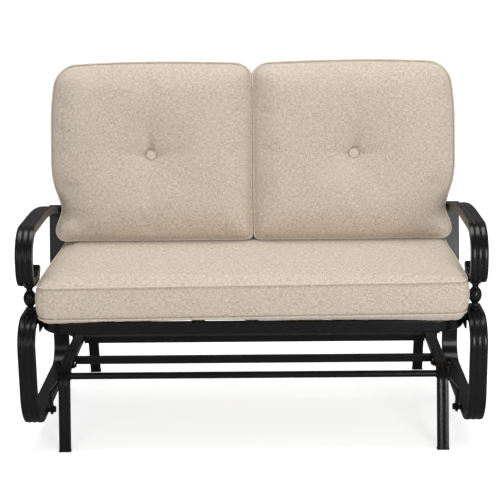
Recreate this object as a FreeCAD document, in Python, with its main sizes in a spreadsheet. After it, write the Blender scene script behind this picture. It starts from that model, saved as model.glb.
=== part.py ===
import FreeCAD, Part

import math
import os
import re

import Sketcher
from FreeCAD import Placement, Rotation, Vector

# A two-seat glider bench for a porch. A floor-standing base of bent flat tube carries four hanger
# links, and the seat frame with its box cushion and two tufted back cushions swings on them.
# Front is -Y, up is +Z, and the origin lies on the floor under the middle of the whole bench.
# Places along Y are stations measured from that origin, heights are measured from the floor.

doc = FreeCAD.newDocument("glider_bench")
sheet = doc.addObject("Spreadsheet::Sheet", "Sizes")

SIZES = (
    # the two side bands and armrests, bent from one lobed flat tube
    ("overall_width", 1200),
    ("band_width", 44),
    ("band_thick", 20),
    ("band_wall", 2),
    ("band_edge", 2.5),
    ("band_lobe_rise", 1.4),
    ("band_lobe_count", 3),
    ("band_front_y", -335),
    ("band_end_y", -195),
    ("band_top_height", 362),
    ("band_top_bend", 65),
    ("runner_height", 83),
    ("runner_front_bend", 92),
    ("post_y", 199),
    ("post_low_bend", 65),
    ("post_lean_bend", 250),
    ("lean_height", 385),
    ("lean_angle", 14.5),
    ("post_top_rise", 14),
    # the armrests
    ("arm_rise", 174),
    ("arm_crown_y", 8),
    ("arm_crown_rise", 55),
    ("arm_crown_bend", 900),
    ("arm_front_y", -301),
    ("arm_front_rise", 56),
    ("arm_front_bend", 72),
    ("hook_rise", 100),
    ("hook_bend", 36),
    ("hook_rear_y", -216),
    ("hook_end_angle", 62),
    ("hook_end_run", 27),
    # the turned spindles
    ("spindle_y", -250),
    ("spindle_collar_radius", 14),
    ("spindle_collar_tall", 7),
    ("spindle_neck_radius", 8.5),
    ("spindle_neck_reach", 18),
    ("spindle_cove", 1.5),
    ("spindle_belly_radius", 17),
    ("spindle_belly_reach", 36),
    ("spindle_bore_radius", 4.5),
    ("arm_plate_thick", 6),
    # the base frames, bent from a narrower tube with two lobes
    ("base_inset", 100),
    ("side_tube_width", 30),
    ("side_tube_thick", 15),
    ("side_tube_wall", 1.5),
    ("side_tube_edge", 2),
    ("side_lobe_rise", 1.1),
    ("side_lobe_count", 2),
    ("rail_height", 207),
    ("rail_bend", 50),
    ("leg_splay", 13),
    ("front_foot_y", -287.5),
    ("rear_foot_y", 337.9),
    ("foot_plug_lip", 1),
    ("foot_plug_flange", 3),
    ("foot_plug_stem", 14),
    # the tubes across the base
    ("tube_wall", 1.5),
    ("tube_edge", 1.5),
    ("front_stretcher_y", -233),
    ("front_stretcher_drop", 16),
    ("front_stretcher_radius", 9),
    ("hanger_tube_drop", 7),
    ("hanger_tube_side", 19),
    ("front_hanger_tube_y", -130),
    ("rear_hanger_tube_y", 50),
    ("rear_stretcher_height", 117),
    ("rear_stretcher_side", 22),
    # the hanger links and their pivots
    ("front_pivot_y", -195),
    ("rear_pivot_y", 85),
    ("link_width", 26),
    ("link_thick", 5),
    ("link_rail_gap", 5),
    ("link_runner_gap", 7.5),
    ("link_bend", 9),
    ("joggle_low", 52),
    ("joggle_rise", 30),
    ("link_eye_end", 14),
    ("link_end_radius", 12.5),
    ("bushing_radius", 7),
    ("bushing_lip_radius", 10.5),
    ("bushing_lip_thick", 1.5),
    ("pivot_radius", 5),
    ("pivot_clearance", 0.05),
    ("fit_clearance", 0.25),
    ("seat_gap", 0.3),
    ("spacer_radius", 8.5),
    ("bolt_head_radius", 8.5),
    ("bolt_head_tall", 6),
    ("insert_radius", 7),
    ("insert_long", 14),
    ("insert_lip", 1),
    # the seat rail and what carries the cushions
    ("seat_rail_drop", 21),
    ("seat_rail_tall", 32),
    ("seat_rail_deep", 18),
    ("seat_rail_front_y", -286),
    ("seat_rail_bend", 70),
    ("seat_rail_edge", 4),
    ("seat_bolt_drop", 4),
    ("seat_rail_end_y", 213),
    ("seat_rear_rail_y", 172),
    ("slat_count", 7),
    ("seat_slat_pitch", 140),
    ("seat_slat_width", 35),
    ("slat_thick", 3),
    ("bracket_thick", 4),
    ("bracket_bend", 5),
    ("bracket_inner_bend", 1.5),
    ("bracket_flange", 40),
    ("bracket_drop", 26),
    ("bracket_front_y", -268),
    ("bracket_long", 96),
    ("bracket_bolt_y", -190),
    ("small_bolt_radius", 4),
    ("small_head_radius", 6.5),
    ("small_head_tall", 5),
    ("back_low_rail_reach", 92),
    ("back_top_rail_reach", 500),
    ("back_top_bend", 80),
    ("back_rail_tall", 25),
    ("back_rail_deep", 18),
    ("back_slat_pitch", 140),
    ("back_slat_width", 30),
    ("plug_cap_thick", 2.5),
    ("plug_stem_long", 8),
    # the cushions
    ("seat_cushion_gap", 5),
    ("seat_cushion_front_y", -315),
    ("seat_cushion_rear_y", 182),
    ("seat_cushion_tall", 106),
    ("seat_cushion_crown", 12),
    ("seat_cushion_bulge", 7),
    ("seat_cushion_corner", 46),
    ("seat_end_bulge", 9),
    ("seat_end_taper", 30),
    ("back_cushion_inset", 5),
    ("back_cushion_top_reach", 573),
    ("back_cushion_thick", 132),
    ("back_cushion_crown", 16),
    ("back_cushion_belly", 8),
    ("back_cushion_arm_gap", 9),
    ("back_cushion_pinch_spread", 70),
    ("back_side_bow", 5),
    ("back_cushion_corner", 62),
    ("tuft_reach", 307),
    ("tuft_radius", 62),
    ("tuft_depth", 13),
    ("cushion_part_gap", 1.6),
    ("button_radius", 15),
    ("button_thick", 7),
    ("button_edge", 3),
)

for row, (alias, value) in enumerate(SIZES, start=1):
    sheet.set(f"A{row}", alias.replace("_", " "))
    sheet.set(f"B{row}", str(value))
    sheet.setAlias(f"B{row}", alias)
doc.recompute()

NAMES = {alias for alias, _ in SIZES}
TOUCHING = 0.001
ACROSS = Vector(1, 0, 0)
SIDES = ((-1, "left"), (1, "right"))
parts = []


def size(alias):
    """One size from the sheet, as a number."""
    return float(sheet.get(alias))


def rule(text):
    """An expression of the document, in which every size's name is read from the sheet."""
    return re.sub("[a-z_]+", lambda word: f"Sizes.{word[0]}" if word[0] in NAMES else word[0], text)


def bind(thing, **rules):
    """Tie properties to expressions. Two underscores stand for a dot in the property's path."""
    for path, text in rules.items():
        thing.setExpression(path.replace("__", "."), rule(text))
    return thing


def place(thing, x="0", y="0", z="0", turn=None, axis=ACROSS):
    """Tie an object's placement to expressions: a spot, and a turn in degrees about one axis."""
    if turn is not None:
        thing.Placement = Placement(Vector(), Rotation(axis, 1))
        bind(thing, Placement__Rotation__Angle=turn)
    return bind(thing, Placement__Base__x=x, Placement__Base__y=y, Placement__Base__z=z)


def keep(thing, label):
    """Name a finished piece as one node of the bench."""
    thing.Label = label
    parts.append(thing)
    return thing


def group(things, label):
    """Like pieces that share one node as separate solids."""
    node = doc.addObject("Part::Compound", label)
    node.Links = things
    return keep(node, label)


def mirrored(thing, label):
    """The same piece on the other side of the bench."""
    twin = doc.addObject("Part::Mirroring", label)
    twin.Source = thing
    twin.Normal = ACROSS
    return keep(twin, label)


# Sketches: construction marks follow the sheet, and the lines and arcs hang on the marks.


def sketch_on(body, role, x="0", y="0", z="0", turn=None):
    """A sketch on an origin plane of its body, shifted along, and turned about, the plane's own axes."""
    plane = [item for item in body.Origin.OriginFeatures if item.Role == role][0]
    sketch = body.newObject("Sketcher::SketchObject", f"{body.Name}_outline")
    sketch.AttachmentSupport = [(plane, "")]
    sketch.MapMode = "FlatFace"
    if turn is not None:
        sketch.AttachmentOffset = Placement(Vector(), Rotation(ACROSS, 1))
        bind(sketch, AttachmentOffset__Rotation__Angle=turn)
    bind(
        sketch,
        AttachmentOffset__Base__x=x,
        AttachmentOffset__Base__y=y,
        AttachmentOffset__Base__z=z,
    )
    return sketch


def constrain(sketch, *terms):
    sketch.addConstraint(Sketcher.Constraint(*terms))


def measure(sketch, text, *terms, value=1):
    """A constraint whose value follows an expression, and holds the given value until then."""
    index = sketch.addConstraint(Sketcher.Constraint(*terms, value))
    sketch.setExpression(f"Constraints[{index}]", rule(text))


def mark(sketch, across, up):
    """A construction point whose place in the sketch follows two expressions."""
    point = sketch.addGeometry(Part.Point(Vector(1, 1, 0)), True)
    measure(sketch, across, "DistanceX", -1, 1, point, 1)
    measure(sketch, up, "DistanceY", -1, 1, point, 1)
    return point


def spots_of(sketch, marks):
    doc.recompute()
    return [sketch.getPoint(point, 1) for point in marks]


def draw_arc(sketch, centre, first, last, leftward):
    """An arc from first to last, and the numbers of its ends in that order."""
    start, end = (first, last) if leftward else (last, first)
    angles = [math.atan2(spot.y - centre.y, spot.x - centre.x) for spot in (start, end)]
    circle = Part.Circle(centre, Vector(0, 0, 1), centre.distanceToPoint(first))
    arc = sketch.addGeometry(Part.ArcOfCircle(circle, *angles))
    return arc, (1, 2) if leftward else (2, 1)


def arc_through(sketch, marks):
    """An arc from the first mark through the second to the third."""
    first, crest, last = spots_of(sketch, marks)
    centre = Part.Circle(first, crest, last).Center
    leftward = (crest - first).cross(last - crest).z > 0
    arc, (start, end) = draw_arc(sketch, centre, first, last, leftward)
    constrain(sketch, "Coincident", arc, start, marks[0], 1)
    constrain(sketch, "Coincident", arc, end, marks[2], 1)
    constrain(sketch, "PointOnObject", marks[1], 1, arc)


def bent_line(sketch, corners, closed=False):
    """Straight runs joined by tangent arcs. A corner is (across, up, its bend's name or None)."""
    marks = [mark(sketch, across, up) for across, up, _ in corners]
    spots = spots_of(sketch, marks)
    count = len(corners)
    bends = {}
    for index, (_, _, bend) in enumerate(corners):
        if bend is None:
            continue
        corner = spots[index]
        back = (spots[index - 1] - corner).normalize()
        ahead = (spots[(index + 1) % count] - corner).normalize()
        half_turn = back.getAngle(ahead) / 2
        reach = size(bend) / math.tan(half_turn)
        centre = corner + (back + ahead).normalize() * (size(bend) / math.sin(half_turn))
        leftward = ahead.cross(back).z > 0
        bends[index] = (corner + back * reach, corner + ahead * reach, centre, leftward)
    runs = {}
    for index in range(count if closed else count - 1):
        following = (index + 1) % count
        start = bends[index][1] if index in bends else spots[index]
        end = bends[following][0] if following in bends else spots[following]
        runs[index] = sketch.addGeometry(Part.LineSegment(start, end))
    for index, (_, _, bend) in enumerate(corners):
        coming = runs.get((index - 1) % count)
        going = runs.get(index)
        if index in bends:
            first, last, centre, leftward = bends[index]
            arc, (start, end) = draw_arc(sketch, centre, first, last, leftward)
            constrain(sketch, "Tangent", coming, 2, arc, start)
            constrain(sketch, "Tangent", arc, end, going, 1)
            constrain(sketch, "PointOnObject", marks[index], 1, coming)
            constrain(sketch, "PointOnObject", marks[index], 1, going)
            measure(sketch, bend, "Radius", arc, value=size(bend))
            continue
        if coming is not None:
            constrain(sketch, "Coincident", coming, 2, marks[index], 1)
        if going is not None:
            constrain(sketch, "Coincident", going, 1, marks[index], 1)
    return marks


def box_outline(sketch, wide, tall, edge=None, across="0", up="0"):
    """A closed rectangle about a middle, with rounded corners where edge names a bend."""
    corners = [
        (f"{across} + ({wide}) * {right} / 2", f"{up} + ({tall}) * {top} / 2", edge)
        for right, top in ((1, 1), (-1, 1), (-1, -1), (1, -1))
    ]
    bent_line(sketch, corners, closed=True)


def circle(sketch, radius, across="0", up="0"):
    middle = mark(sketch, across, up)
    spot = spots_of(sketch, [middle])[0]
    ring = sketch.addGeometry(Part.Circle(spot, Vector(0, 0, 1), 1))
    constrain(sketch, "Coincident", ring, 3, middle, 1)
    measure(sketch, radius, "Radius", ring)


def tube_section(sketch, wide, tall, wall, edge, across="0", up="0"):
    box_outline(sketch, wide, tall, edge, across, up)
    box_outline(sketch, f"{wide} - 2 * {wall}", f"{tall} - 2 * {wall}", None, across, up)


def lobed_section(sketch, wide, thick, wall, edge, lobes, rise, outward="1"):
    """A flat tube whose outer broad face is rolled into shallow lobes side by side."""
    count = round(size(lobes))
    outer = f"{outward} * {thick} / 2"
    inner = f"-{outward} * {thick} / 2"
    left = f"-{wide} / 2"
    right = f"{wide} / 2"
    marks = bent_line(
        sketch, ((left, outer, None), (left, inner, edge), (right, inner, edge), (right, outer, None))
    )
    valleys = [mark(sketch, f"{right} - {wide} * {n} / {count}", outer) for n in range(1, count)]
    valleys = [marks[-1], *valleys, marks[0]]
    for n in range(count):
        crest = mark(sketch, f"{right} - {wide} * {n + 0.5} / {count}", f"{outer} + {outward} * {rise}")
        arc_through(sketch, (valleys[n], crest, valleys[n + 1]))
    box_outline(sketch, f"{wide} - 2 * {wall}", f"{thick} - 2 * {wall}")


# Features on those sketches.


def pipe(body, section, path):
    feature = body.newObject("PartDesign::AdditivePipe", f"{body.Name}_bent")
    feature.Profile = section
    feature.Spine = (path, [])
    doc.recompute()
    return feature


def pad(body, sketch, length, symmetric=False, reverse=False):
    feature = body.newObject("PartDesign::Pad", f"{body.Name}_pad")
    feature.Profile = sketch
    feature.SideType = "Symmetric" if symmetric else "One side"
    feature.Reversed = reverse
    return bind(feature, Length=length)


def pocket(body, sketch, length, symmetric=False, reverse=False):
    """Cut a sketch away, and make sure that the cut met the piece."""
    doc.recompute()
    before = body.Shape.Volume
    feature = body.newObject("PartDesign::Pocket", f"{body.Name}_cut")
    feature.Profile = sketch
    feature.SideType = "Symmetric" if symmetric else "One side"
    feature.Reversed = reverse
    bind(feature, Length=length)
    doc.recompute()
    if not body.Shape.Volume < before:
        raise ValueError(f"{body.Name}: a cut met nothing")
    return feature


def turned(name, outline, axis="H_Axis"):
    """A body turned about X, or about Z, from corners (along the axis, radius, any bend)."""
    body = doc.addObject("PartDesign::Body", name)
    sketch = sketch_on(body, "XZ_Plane")
    corners = [(along, radius, bend[0] if bend else None) for along, radius, *bend in outline]
    if axis == "V_Axis":
        corners = [(radius, along, bend) for along, radius, bend in corners]
    bent_line(sketch, corners, closed=True)
    feature = body.newObject("PartDesign::Revolution", f"{name}_turned")
    feature.Profile = sketch
    feature.ReferenceAxis = (sketch, [axis])
    feature.Angle = 360
    return body


def sleeve(name, start, end, radius, bore):
    """A plain ring along X."""
    return turned(name, ((start, bore), (end, bore), (end, radius), (start, radius)))


def bolt(name, tip, seat, radius, head_radius, head_tall):
    """A bolt along X with its tip on the negative side and its round head past the seat."""
    return turned(
        name,
        (
            (tip, "0"),
            (tip, radius),
            (seat, radius),
            (seat, head_radius),
            (f"{seat} + {head_tall}", head_radius),
            (f"{seat} + {head_tall}", "0"),
        ),
    )


def facing(thing, side, x, y, z):
    """Stand a piece made along X at the right (side 1), or turned to face left (side -1)."""
    turn = "0" if side > 0 else "180"
    return place(thing, f"{side} * ({x})", y, z, turn, Vector(0, 0, 1))


# Shared places. The right side of the bench is written out, and the left one mirrors it.

BAND_X = "(overall_width - band_width) / 2"
BAND_INNER_X = "(overall_width / 2 - band_width)"
BASE_X = "(overall_width / 2 - base_inset)"
RAIL_OUTER_X = f"({BASE_X} + side_tube_width / 2)"
PIVOTS = (("front", "front_pivot_y"), ("rear", "rear_pivot_y"))
BAND_TOP = "(band_top_height + band_thick / 2 + band_lobe_rise)"
BAND_UNDER = "(band_top_height - band_thick / 2)"
ARM_LEVEL = "(band_top_height + arm_rise)"
HOOK_LEVEL = "(band_top_height + hook_rise)"
POST_TOP = f"({ARM_LEVEL} + post_top_rise)"
HOOK_BOTTOM = f"({HOOK_LEVEL} - band_thick / 2 - band_lobe_rise)"
SEAT_LEVEL = "(band_top_height - seat_rail_drop)"
SEAT_BOLT_Z = f"({SEAT_LEVEL} - seat_bolt_drop)"
LEAN = "-lean_angle"


def lean_spot(back, reach):
    """World y and z of a spot in the leaning frame: behind the posts' middle, and up along them."""
    return (
        f"post_y + ({back}) * cos(lean_angle) + ({reach}) * sin(lean_angle)",
        f"lean_height - ({back}) * sin(lean_angle) + ({reach}) * cos(lean_angle)",
    )


# Base side frames: an upside-down U of flat tube with two lobes, its legs splayed and cut level
# just above the floor, drilled through at the two link pivots.

body = doc.addObject("PartDesign::Body", "base_side")
section = sketch_on(body, "XY_Plane", BASE_X, "front_foot_y", "0", "-leg_splay")
lobed_section(
    section, "side_tube_width", "side_tube_thick", "side_tube_wall", "side_tube_edge",
    "side_lobe_count", "side_lobe_rise", "-1",
)
path = sketch_on(body, "YZ_Plane", z=BASE_X)
bent_line(
    path,
    (
        ("front_foot_y", "0", None),
        ("front_foot_y + rail_height * tan(leg_splay)", "rail_height", "rail_bend"),
        ("rear_foot_y - rail_height * tan(leg_splay)", "rail_height", "rail_bend"),
        ("rear_foot_y", "0", None),
    ),
)
pipe(body, section, path)
FEET_MIDDLE = "(front_foot_y + rear_foot_y) / 2"
level = sketch_on(body, "XY_Plane", BASE_X, FEET_MIDDLE, "foot_plug_flange")
box_outline(level, "2 * side_tube_width", "2 * (rear_foot_y - front_foot_y)")
pocket(body, level, "2 * side_tube_thick")
holes = sketch_on(body, "YZ_Plane", z=BASE_X)
for _, pivot_y in PIVOTS:
    circle(holes, "pivot_radius + fit_clearance", pivot_y, "rail_height")
pocket(body, holes, "2 * side_tube_width", symmetric=True)
keep(body, "base_side_right")
mirrored(body, "base_side_left")

# Tubes across the base, welded between the side frames.

BASE_INSIDE = f"2 * {BASE_X} - side_tube_width"

body = doc.addObject("PartDesign::Body", "base_front_stretcher")
section = sketch_on(body, "YZ_Plane", "front_stretcher_y", "rail_height - front_stretcher_drop")
circle(section, "front_stretcher_radius")
circle(section, "front_stretcher_radius - tube_wall")
pad(body, section, BASE_INSIDE, symmetric=True)
keep(body, "base_front_stretcher")

HANGER_TUBE_Z = "rail_height - hanger_tube_drop"
REAR_STRETCHER_Y = "rear_foot_y - rear_stretcher_height * tan(leg_splay)"
for name, tube_y, height, side_length in (
    ("base_front_hanger_tube", "front_hanger_tube_y", HANGER_TUBE_Z, "hanger_tube_side"),
    ("base_rear_hanger_tube", "rear_hanger_tube_y", HANGER_TUBE_Z, "hanger_tube_side"),
    ("base_rear_stretcher", REAR_STRETCHER_Y, "rear_stretcher_height", "rear_stretcher_side"),
):
    body = doc.addObject("PartDesign::Body", name)
    section = sketch_on(body, "YZ_Plane", tube_y, height)
    tube_section(section, side_length, side_length, "tube_wall", "tube_edge")
    pad(body, section, BASE_INSIDE, symmetric=True)
    keep(body, name)

# Foot plugs: a level plastic glide under each leg, with a stem that leans up into the tube.

plugs = []
for side, side_name in SIDES:
    for end, foot_y, lean in (
        ("front", "front_foot_y", "-leg_splay"),
        ("rear", "rear_foot_y", "leg_splay"),
    ):
        body = doc.addObject("PartDesign::Body", f"foot_plug_{end}_{side_name}")
        glide = sketch_on(body, "XY_Plane")
        box_outline(
            glide, "side_tube_width + 2 * foot_plug_lip", "side_tube_thick + 2 * foot_plug_lip",
            "side_tube_edge",
        )
        pad(body, glide, "foot_plug_flange")
        rise = "foot_plug_flange / 2"
        stem = sketch_on(body, "XY_Plane", y=f"-{rise} * tan({lean})", z=rise, turn=lean)
        inside = "- 2 * side_tube_wall - 2 * fit_clearance"
        box_outline(stem, f"side_tube_width {inside}", f"side_tube_thick {inside}")
        pad(body, stem, "foot_plug_stem")
        place(body, f"{side} * {BASE_X}", foot_y)
        plugs.append(body)
group(plugs, "base_foot_plugs")

# Fixed pivots: a bolt through each rail carries a link, with a spacer outside and a nut inside.

LINK_FACE = "(link_rail_gap + link_thick + bushing_lip_thick + seat_gap)"
bolts, spacers, nuts = [], [], []
for side, side_name in SIDES:
    for end, pivot_y in PIVOTS:
        tag = f"{end}_{side_name}"
        spot = (RAIL_OUTER_X, pivot_y, "rail_height")
        tip = "-(side_tube_width + bolt_head_tall + link_thick)"
        pivot_bolt = bolt(
            f"upper_bolt_{tag}", tip, LINK_FACE, "pivot_radius", "bolt_head_radius", "bolt_head_tall"
        )
        bolts.append(facing(pivot_bolt, side, *spot))
        spacers.append(facing(
            sleeve(f"upper_spacer_{tag}", "0", "link_rail_gap - bushing_lip_thick - seat_gap",
                   "spacer_radius", "pivot_radius + pivot_clearance"),
            side, *spot,
        ))
        hexagon = doc.addObject("Part::Prism", f"upper_hexagon_{tag}")
        hexagon.Polygon = 6
        bind(hexagon, Circumradius="bolt_head_radius", Height="bolt_head_tall")
        drill = doc.addObject("Part::Cylinder", f"upper_thread_{tag}")
        bind(drill, Radius="pivot_radius + pivot_clearance", Height="bolt_head_tall")
        nut = doc.addObject("Part::Cut", f"upper_nut_{tag}")
        nut.Base = hexagon
        nut.Tool = drill
        inner = f"{side} * ({RAIL_OUTER_X} - side_tube_width) - (1 + {side}) / 2 * bolt_head_tall"
        nuts.append(place(nut, inner, pivot_y, "rail_height", "90", Vector(0, 1, 0)))
group(bolts, "upper_pivot_bolts")
group(spacers, "upper_pivot_spacers")
group(nuts, "upper_pivot_nuts")

# Hanger links: joggled flat bars with round ends, hung on the rails and carrying the runners.

LINK_TOP_X = f"({RAIL_OUTER_X} + link_rail_gap + link_thick / 2)"
LINK_LOW_X = f"({BAND_INNER_X} - link_runner_gap - link_thick / 2)"
LINK_TOP = "(rail_height + link_eye_end)"
JOGGLE_BOTTOM = "(runner_height + joggle_low)"
BUSHING_END = "(link_thick / 2 + bushing_lip_thick)"


def end_edges(shape, low, high):
    """Names of the short straight edges along X at the two ends of a link."""
    names = []
    for number, edge in enumerate(shape.Edges, start=1):
        ends = [vertex.Point for vertex in edge.Vertexes]
        if len(ends) == 2 and abs(ends[0].y - ends[1].y) + abs(ends[0].z - ends[1].z) < TOUCHING:
            if min(abs(ends[0].z - low), abs(ends[0].z - high)) < TOUCHING:
                names.append(f"Edge{number}")
    return names


for side, side_name in SIDES:
    for end, pivot_y in PIVOTS:
        name = f"link_{end}_{side_name}"
        body = doc.addObject("PartDesign::Body", name)
        section = sketch_on(body, "XY_Plane", f"{side} * {LINK_TOP_X}", pivot_y, LINK_TOP)
        box_outline(section, "link_thick", "link_width")
        path = sketch_on(body, "XZ_Plane", z=f"-({pivot_y})")
        bent_line(
            path,
            (
                (f"{side} * {LINK_TOP_X}", LINK_TOP, None),
                (f"{side} * {LINK_TOP_X}", f"{JOGGLE_BOTTOM} + joggle_rise", "link_bend"),
                (f"{side} * {LINK_LOW_X}", JOGGLE_BOTTOM, "link_bend"),
                (f"{side} * {LINK_LOW_X}", "runner_height - link_eye_end", None),
            ),
        )
        bar = pipe(body, section, path)
        round_ends = body.newObject("PartDesign::Fillet", f"{name}_ends")
        low = size("runner_height") - size("link_eye_end")
        high = size("rail_height") + size("link_eye_end")
        round_ends.Base = (bar, end_edges(bar.Shape, low, high))
        bind(round_ends, Radius="link_end_radius")
        eyes = sketch_on(body, "YZ_Plane")
        for height in ("rail_height", "runner_height"):
            circle(eyes, "bushing_radius", pivot_y, height)
        pocket(body, eyes, "overall_width / 2", reverse=side > 0)
        keep(body, name)
        bushings = []
        for eye, x, height in (
            ("upper", LINK_TOP_X, "rail_height"),
            ("lower", LINK_LOW_X, "runner_height"),
        ):
            lips = (
                (f"-{BUSHING_END}", "pivot_radius + pivot_clearance"),
                (BUSHING_END, "pivot_radius + pivot_clearance"),
                (BUSHING_END, "bushing_lip_radius"),
                ("link_thick / 2", "bushing_lip_radius"),
                ("link_thick / 2", "bushing_radius"),
                ("-link_thick / 2", "bushing_radius"),
                ("-link_thick / 2", "bushing_lip_radius"),
                (f"-{BUSHING_END}", "bushing_lip_radius"),
            )
            bushing = turned(f"{name}_{eye}_bushing", lips)
            bushings.append(place(bushing, f"{side} * {x}", pivot_y, height))
        group(bushings, f"{name}_bushings")

# Side bands: one lobed flat tube each, from the short run under the spindle forward and down
# round a large bend, back as the level runner, and up into the leaning back post.

body = doc.addObject("PartDesign::Body", "side_band")
section = sketch_on(body, "XZ_Plane", BAND_X, "band_top_height", "-band_end_y")
BAND_TUBE = ("band_width", "band_thick", "band_wall", "band_edge", "band_lobe_count", "band_lobe_rise")
lobed_section(section, *BAND_TUBE)
path = sketch_on(body, "YZ_Plane", z=BAND_X)
POST_TOP_Y = f"(post_y + ({POST_TOP} - lean_height) * tan(lean_angle))"
bent_line(
    path,
    (
        ("band_end_y", "band_top_height", None),
        ("band_front_y", "band_top_height", "band_top_bend"),
        ("band_front_y", "runner_height", "runner_front_bend"),
        ("post_y", "runner_height", "post_low_bend"),
        ("post_y", "lean_height", "post_lean_bend"),
        (POST_TOP_Y, POST_TOP, None),
    ),
)
pipe(body, section, path)
sockets = sketch_on(body, "YZ_Plane", z=BAND_INNER_X)
for _, pivot_y in PIVOTS:
    circle(sockets, "insert_radius", pivot_y, "runner_height")
circle(sockets, "insert_radius", "post_y", SEAT_BOLT_Z)
pocket(body, sockets, "insert_long", reverse=True)
spindle_hole = sketch_on(body, "XY_Plane", BAND_X, "spindle_y", "band_top_height")
circle(spindle_hole, "small_bolt_radius + fit_clearance")
pocket(body, spindle_hole, "2 * band_thick", symmetric=True)
ARM_BOLT_Y = f"(post_y + ({ARM_LEVEL} - lean_height) * tan(lean_angle))"
arm_hole = sketch_on(body, "XZ_Plane", BAND_X, ARM_LEVEL, f"-{ARM_BOLT_Y}", LEAN)
circle(arm_hole, "small_bolt_radius + fit_clearance")
pocket(body, arm_hole, "2 * band_thick", symmetric=True)
keep(body, "side_band_right")
mirrored(body, "side_band_left")

# Armrests: the same tube, from the post forward over a gentle crown and round into the hook that
# stands on the spindle. The rear end is cut to the post's lean, with room for its end plate.

body = doc.addObject("PartDesign::Body", "arm")
ARM_SLOPE = f"atan(arm_crown_rise / ({ARM_BOLT_Y} - arm_crown_y))"
section = sketch_on(body, "XZ_Plane", BAND_X, ARM_LEVEL, f"-{ARM_BOLT_Y}", f"-{ARM_SLOPE}")
lobed_section(section, *BAND_TUBE)
path = sketch_on(body, "YZ_Plane", z=BAND_X)
HOOK_END_Y = "(hook_rear_y + hook_end_run * cos(hook_end_angle))"
HOOK_END_Z = f"({HOOK_LEVEL} + hook_end_run * sin(hook_end_angle))"
bent_line(
    path,
    (
        (ARM_BOLT_Y, ARM_LEVEL, None),
        ("arm_crown_y", f"{ARM_LEVEL} + arm_crown_rise", "arm_crown_bend"),
        ("arm_front_y", f"{ARM_LEVEL} + arm_front_rise", "arm_front_bend"),
        ("arm_front_y", HOOK_LEVEL, "hook_bend"),
        ("hook_rear_y", HOOK_LEVEL, "hook_bend"),
        (HOOK_END_Y, HOOK_END_Z, None),
    ),
)
pipe(body, section, path)
behind = sketch_on(body, "XZ_Plane", BAND_X, ARM_LEVEL, f"-{ARM_BOLT_Y}", LEAN)
box_outline(behind, "2 * band_width", "4 * band_thick")
pocket(body, behind, "band_thick + 2 * arm_plate_thick", symmetric=True)
spindle_hole = sketch_on(body, "XY_Plane", BAND_X, "spindle_y", HOOK_BOTTOM)
circle(spindle_hole, "small_bolt_radius + fit_clearance")
pocket(body, spindle_hole, "band_thick", symmetric=True)
keep(body, "arm_right")
mirrored(body, "arm_left")

# Spindles: turned posts with a collar, a neck and a belly, bored for the bolt that holds them.

SPINDLE_TALL = f"({HOOK_BOTTOM} - {BAND_TOP})"
COVE_RADIUS = "spindle_neck_radius + spindle_cove"
COVE_REACH = "spindle_collar_tall + spindle_cove * 2"
body = doc.addObject("PartDesign::Body", "spindle")
outline = sketch_on(body, "XZ_Plane")
marks = [
    mark(outline, radius, up)
    for radius, up in (
        ("spindle_bore_radius", SPINDLE_TALL),
        ("spindle_bore_radius", "0"),
        ("spindle_collar_radius", "0"),
        ("spindle_collar_radius", "spindle_collar_tall"),
        (COVE_RADIUS, COVE_REACH),
        ("spindle_neck_radius", "spindle_neck_reach"),
        ("spindle_belly_radius", "spindle_belly_reach"),
        ("spindle_neck_radius", f"{SPINDLE_TALL} - spindle_neck_reach"),
        (COVE_RADIUS, f"{SPINDLE_TALL} - ({COVE_REACH})"),
        ("spindle_collar_radius", f"{SPINDLE_TALL} - spindle_collar_tall"),
        ("spindle_collar_radius", SPINDLE_TALL),
    )
]
spots = spots_of(outline, marks)
for first, last in ((0, 1), (1, 2), (2, 3), (9, 10), (10, 0)):
    line = outline.addGeometry(Part.LineSegment(spots[first], spots[last]))
    constrain(outline, "Coincident", line, 1, marks[first], 1)
    constrain(outline, "Coincident", line, 2, marks[last], 1)
for first in (3, 5, 7):
    arc_through(outline, marks[first:first + 3])
feature = body.newObject("PartDesign::Revolution", "spindle_turned")
feature.Profile = outline
feature.ReferenceAxis = (outline, ["V_Axis"])
feature.Angle = 360
place(body, BAND_X, "spindle_y", BAND_TOP)
keep(body, "spindle_right")
mirrored(body, "spindle_left")

# Spindle bolts: each comes up through the bracket, the side band and the spindle into the hook,
# where a nut holds it.

THREAD = "small_bolt_radius + pivot_clearance"
BOLT_UNDER = f"({BAND_UNDER} - bracket_thick)"
NUT_LOW = f"({HOOK_LEVEL} - band_thick / 2 + band_wall)"
spindle_bolts, spindle_nuts = [], []
for side, side_name in SIDES:
    shank_end = f"{NUT_LOW} + small_head_tall - {BOLT_UNDER}"
    spindle_bolt = turned(
        f"spindle_bolt_{side_name}",
        (
            ("-small_head_tall", "0"),
            ("-small_head_tall", "small_head_radius"),
            ("0", "small_head_radius"),
            ("0", "small_bolt_radius"),
            (shank_end, "small_bolt_radius"),
            (shank_end, "0"),
        ),
        "V_Axis",
    )
    spindle_bolts.append(place(spindle_bolt, f"{side} * {BAND_X}", "spindle_y", BOLT_UNDER))
    spindle_nut = turned(
        f"spindle_nut_{side_name}",
        (
            ("0", THREAD),
            ("0", "small_head_radius"),
            ("small_head_tall", "small_head_radius"),
            ("small_head_tall", THREAD),
        ),
        "V_Axis",
    )
    spindle_nuts.append(place(spindle_nut, f"{side} * {BAND_X}", "spindle_y", NUT_LOW))
group(spindle_bolts, "spindle_bolts")
group(spindle_nuts, "spindle_nuts")

# Arm plates and bolts: a threaded plate closes the rear end of each armrest against the post, and
# a bolt comes forward through the post into it.

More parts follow.
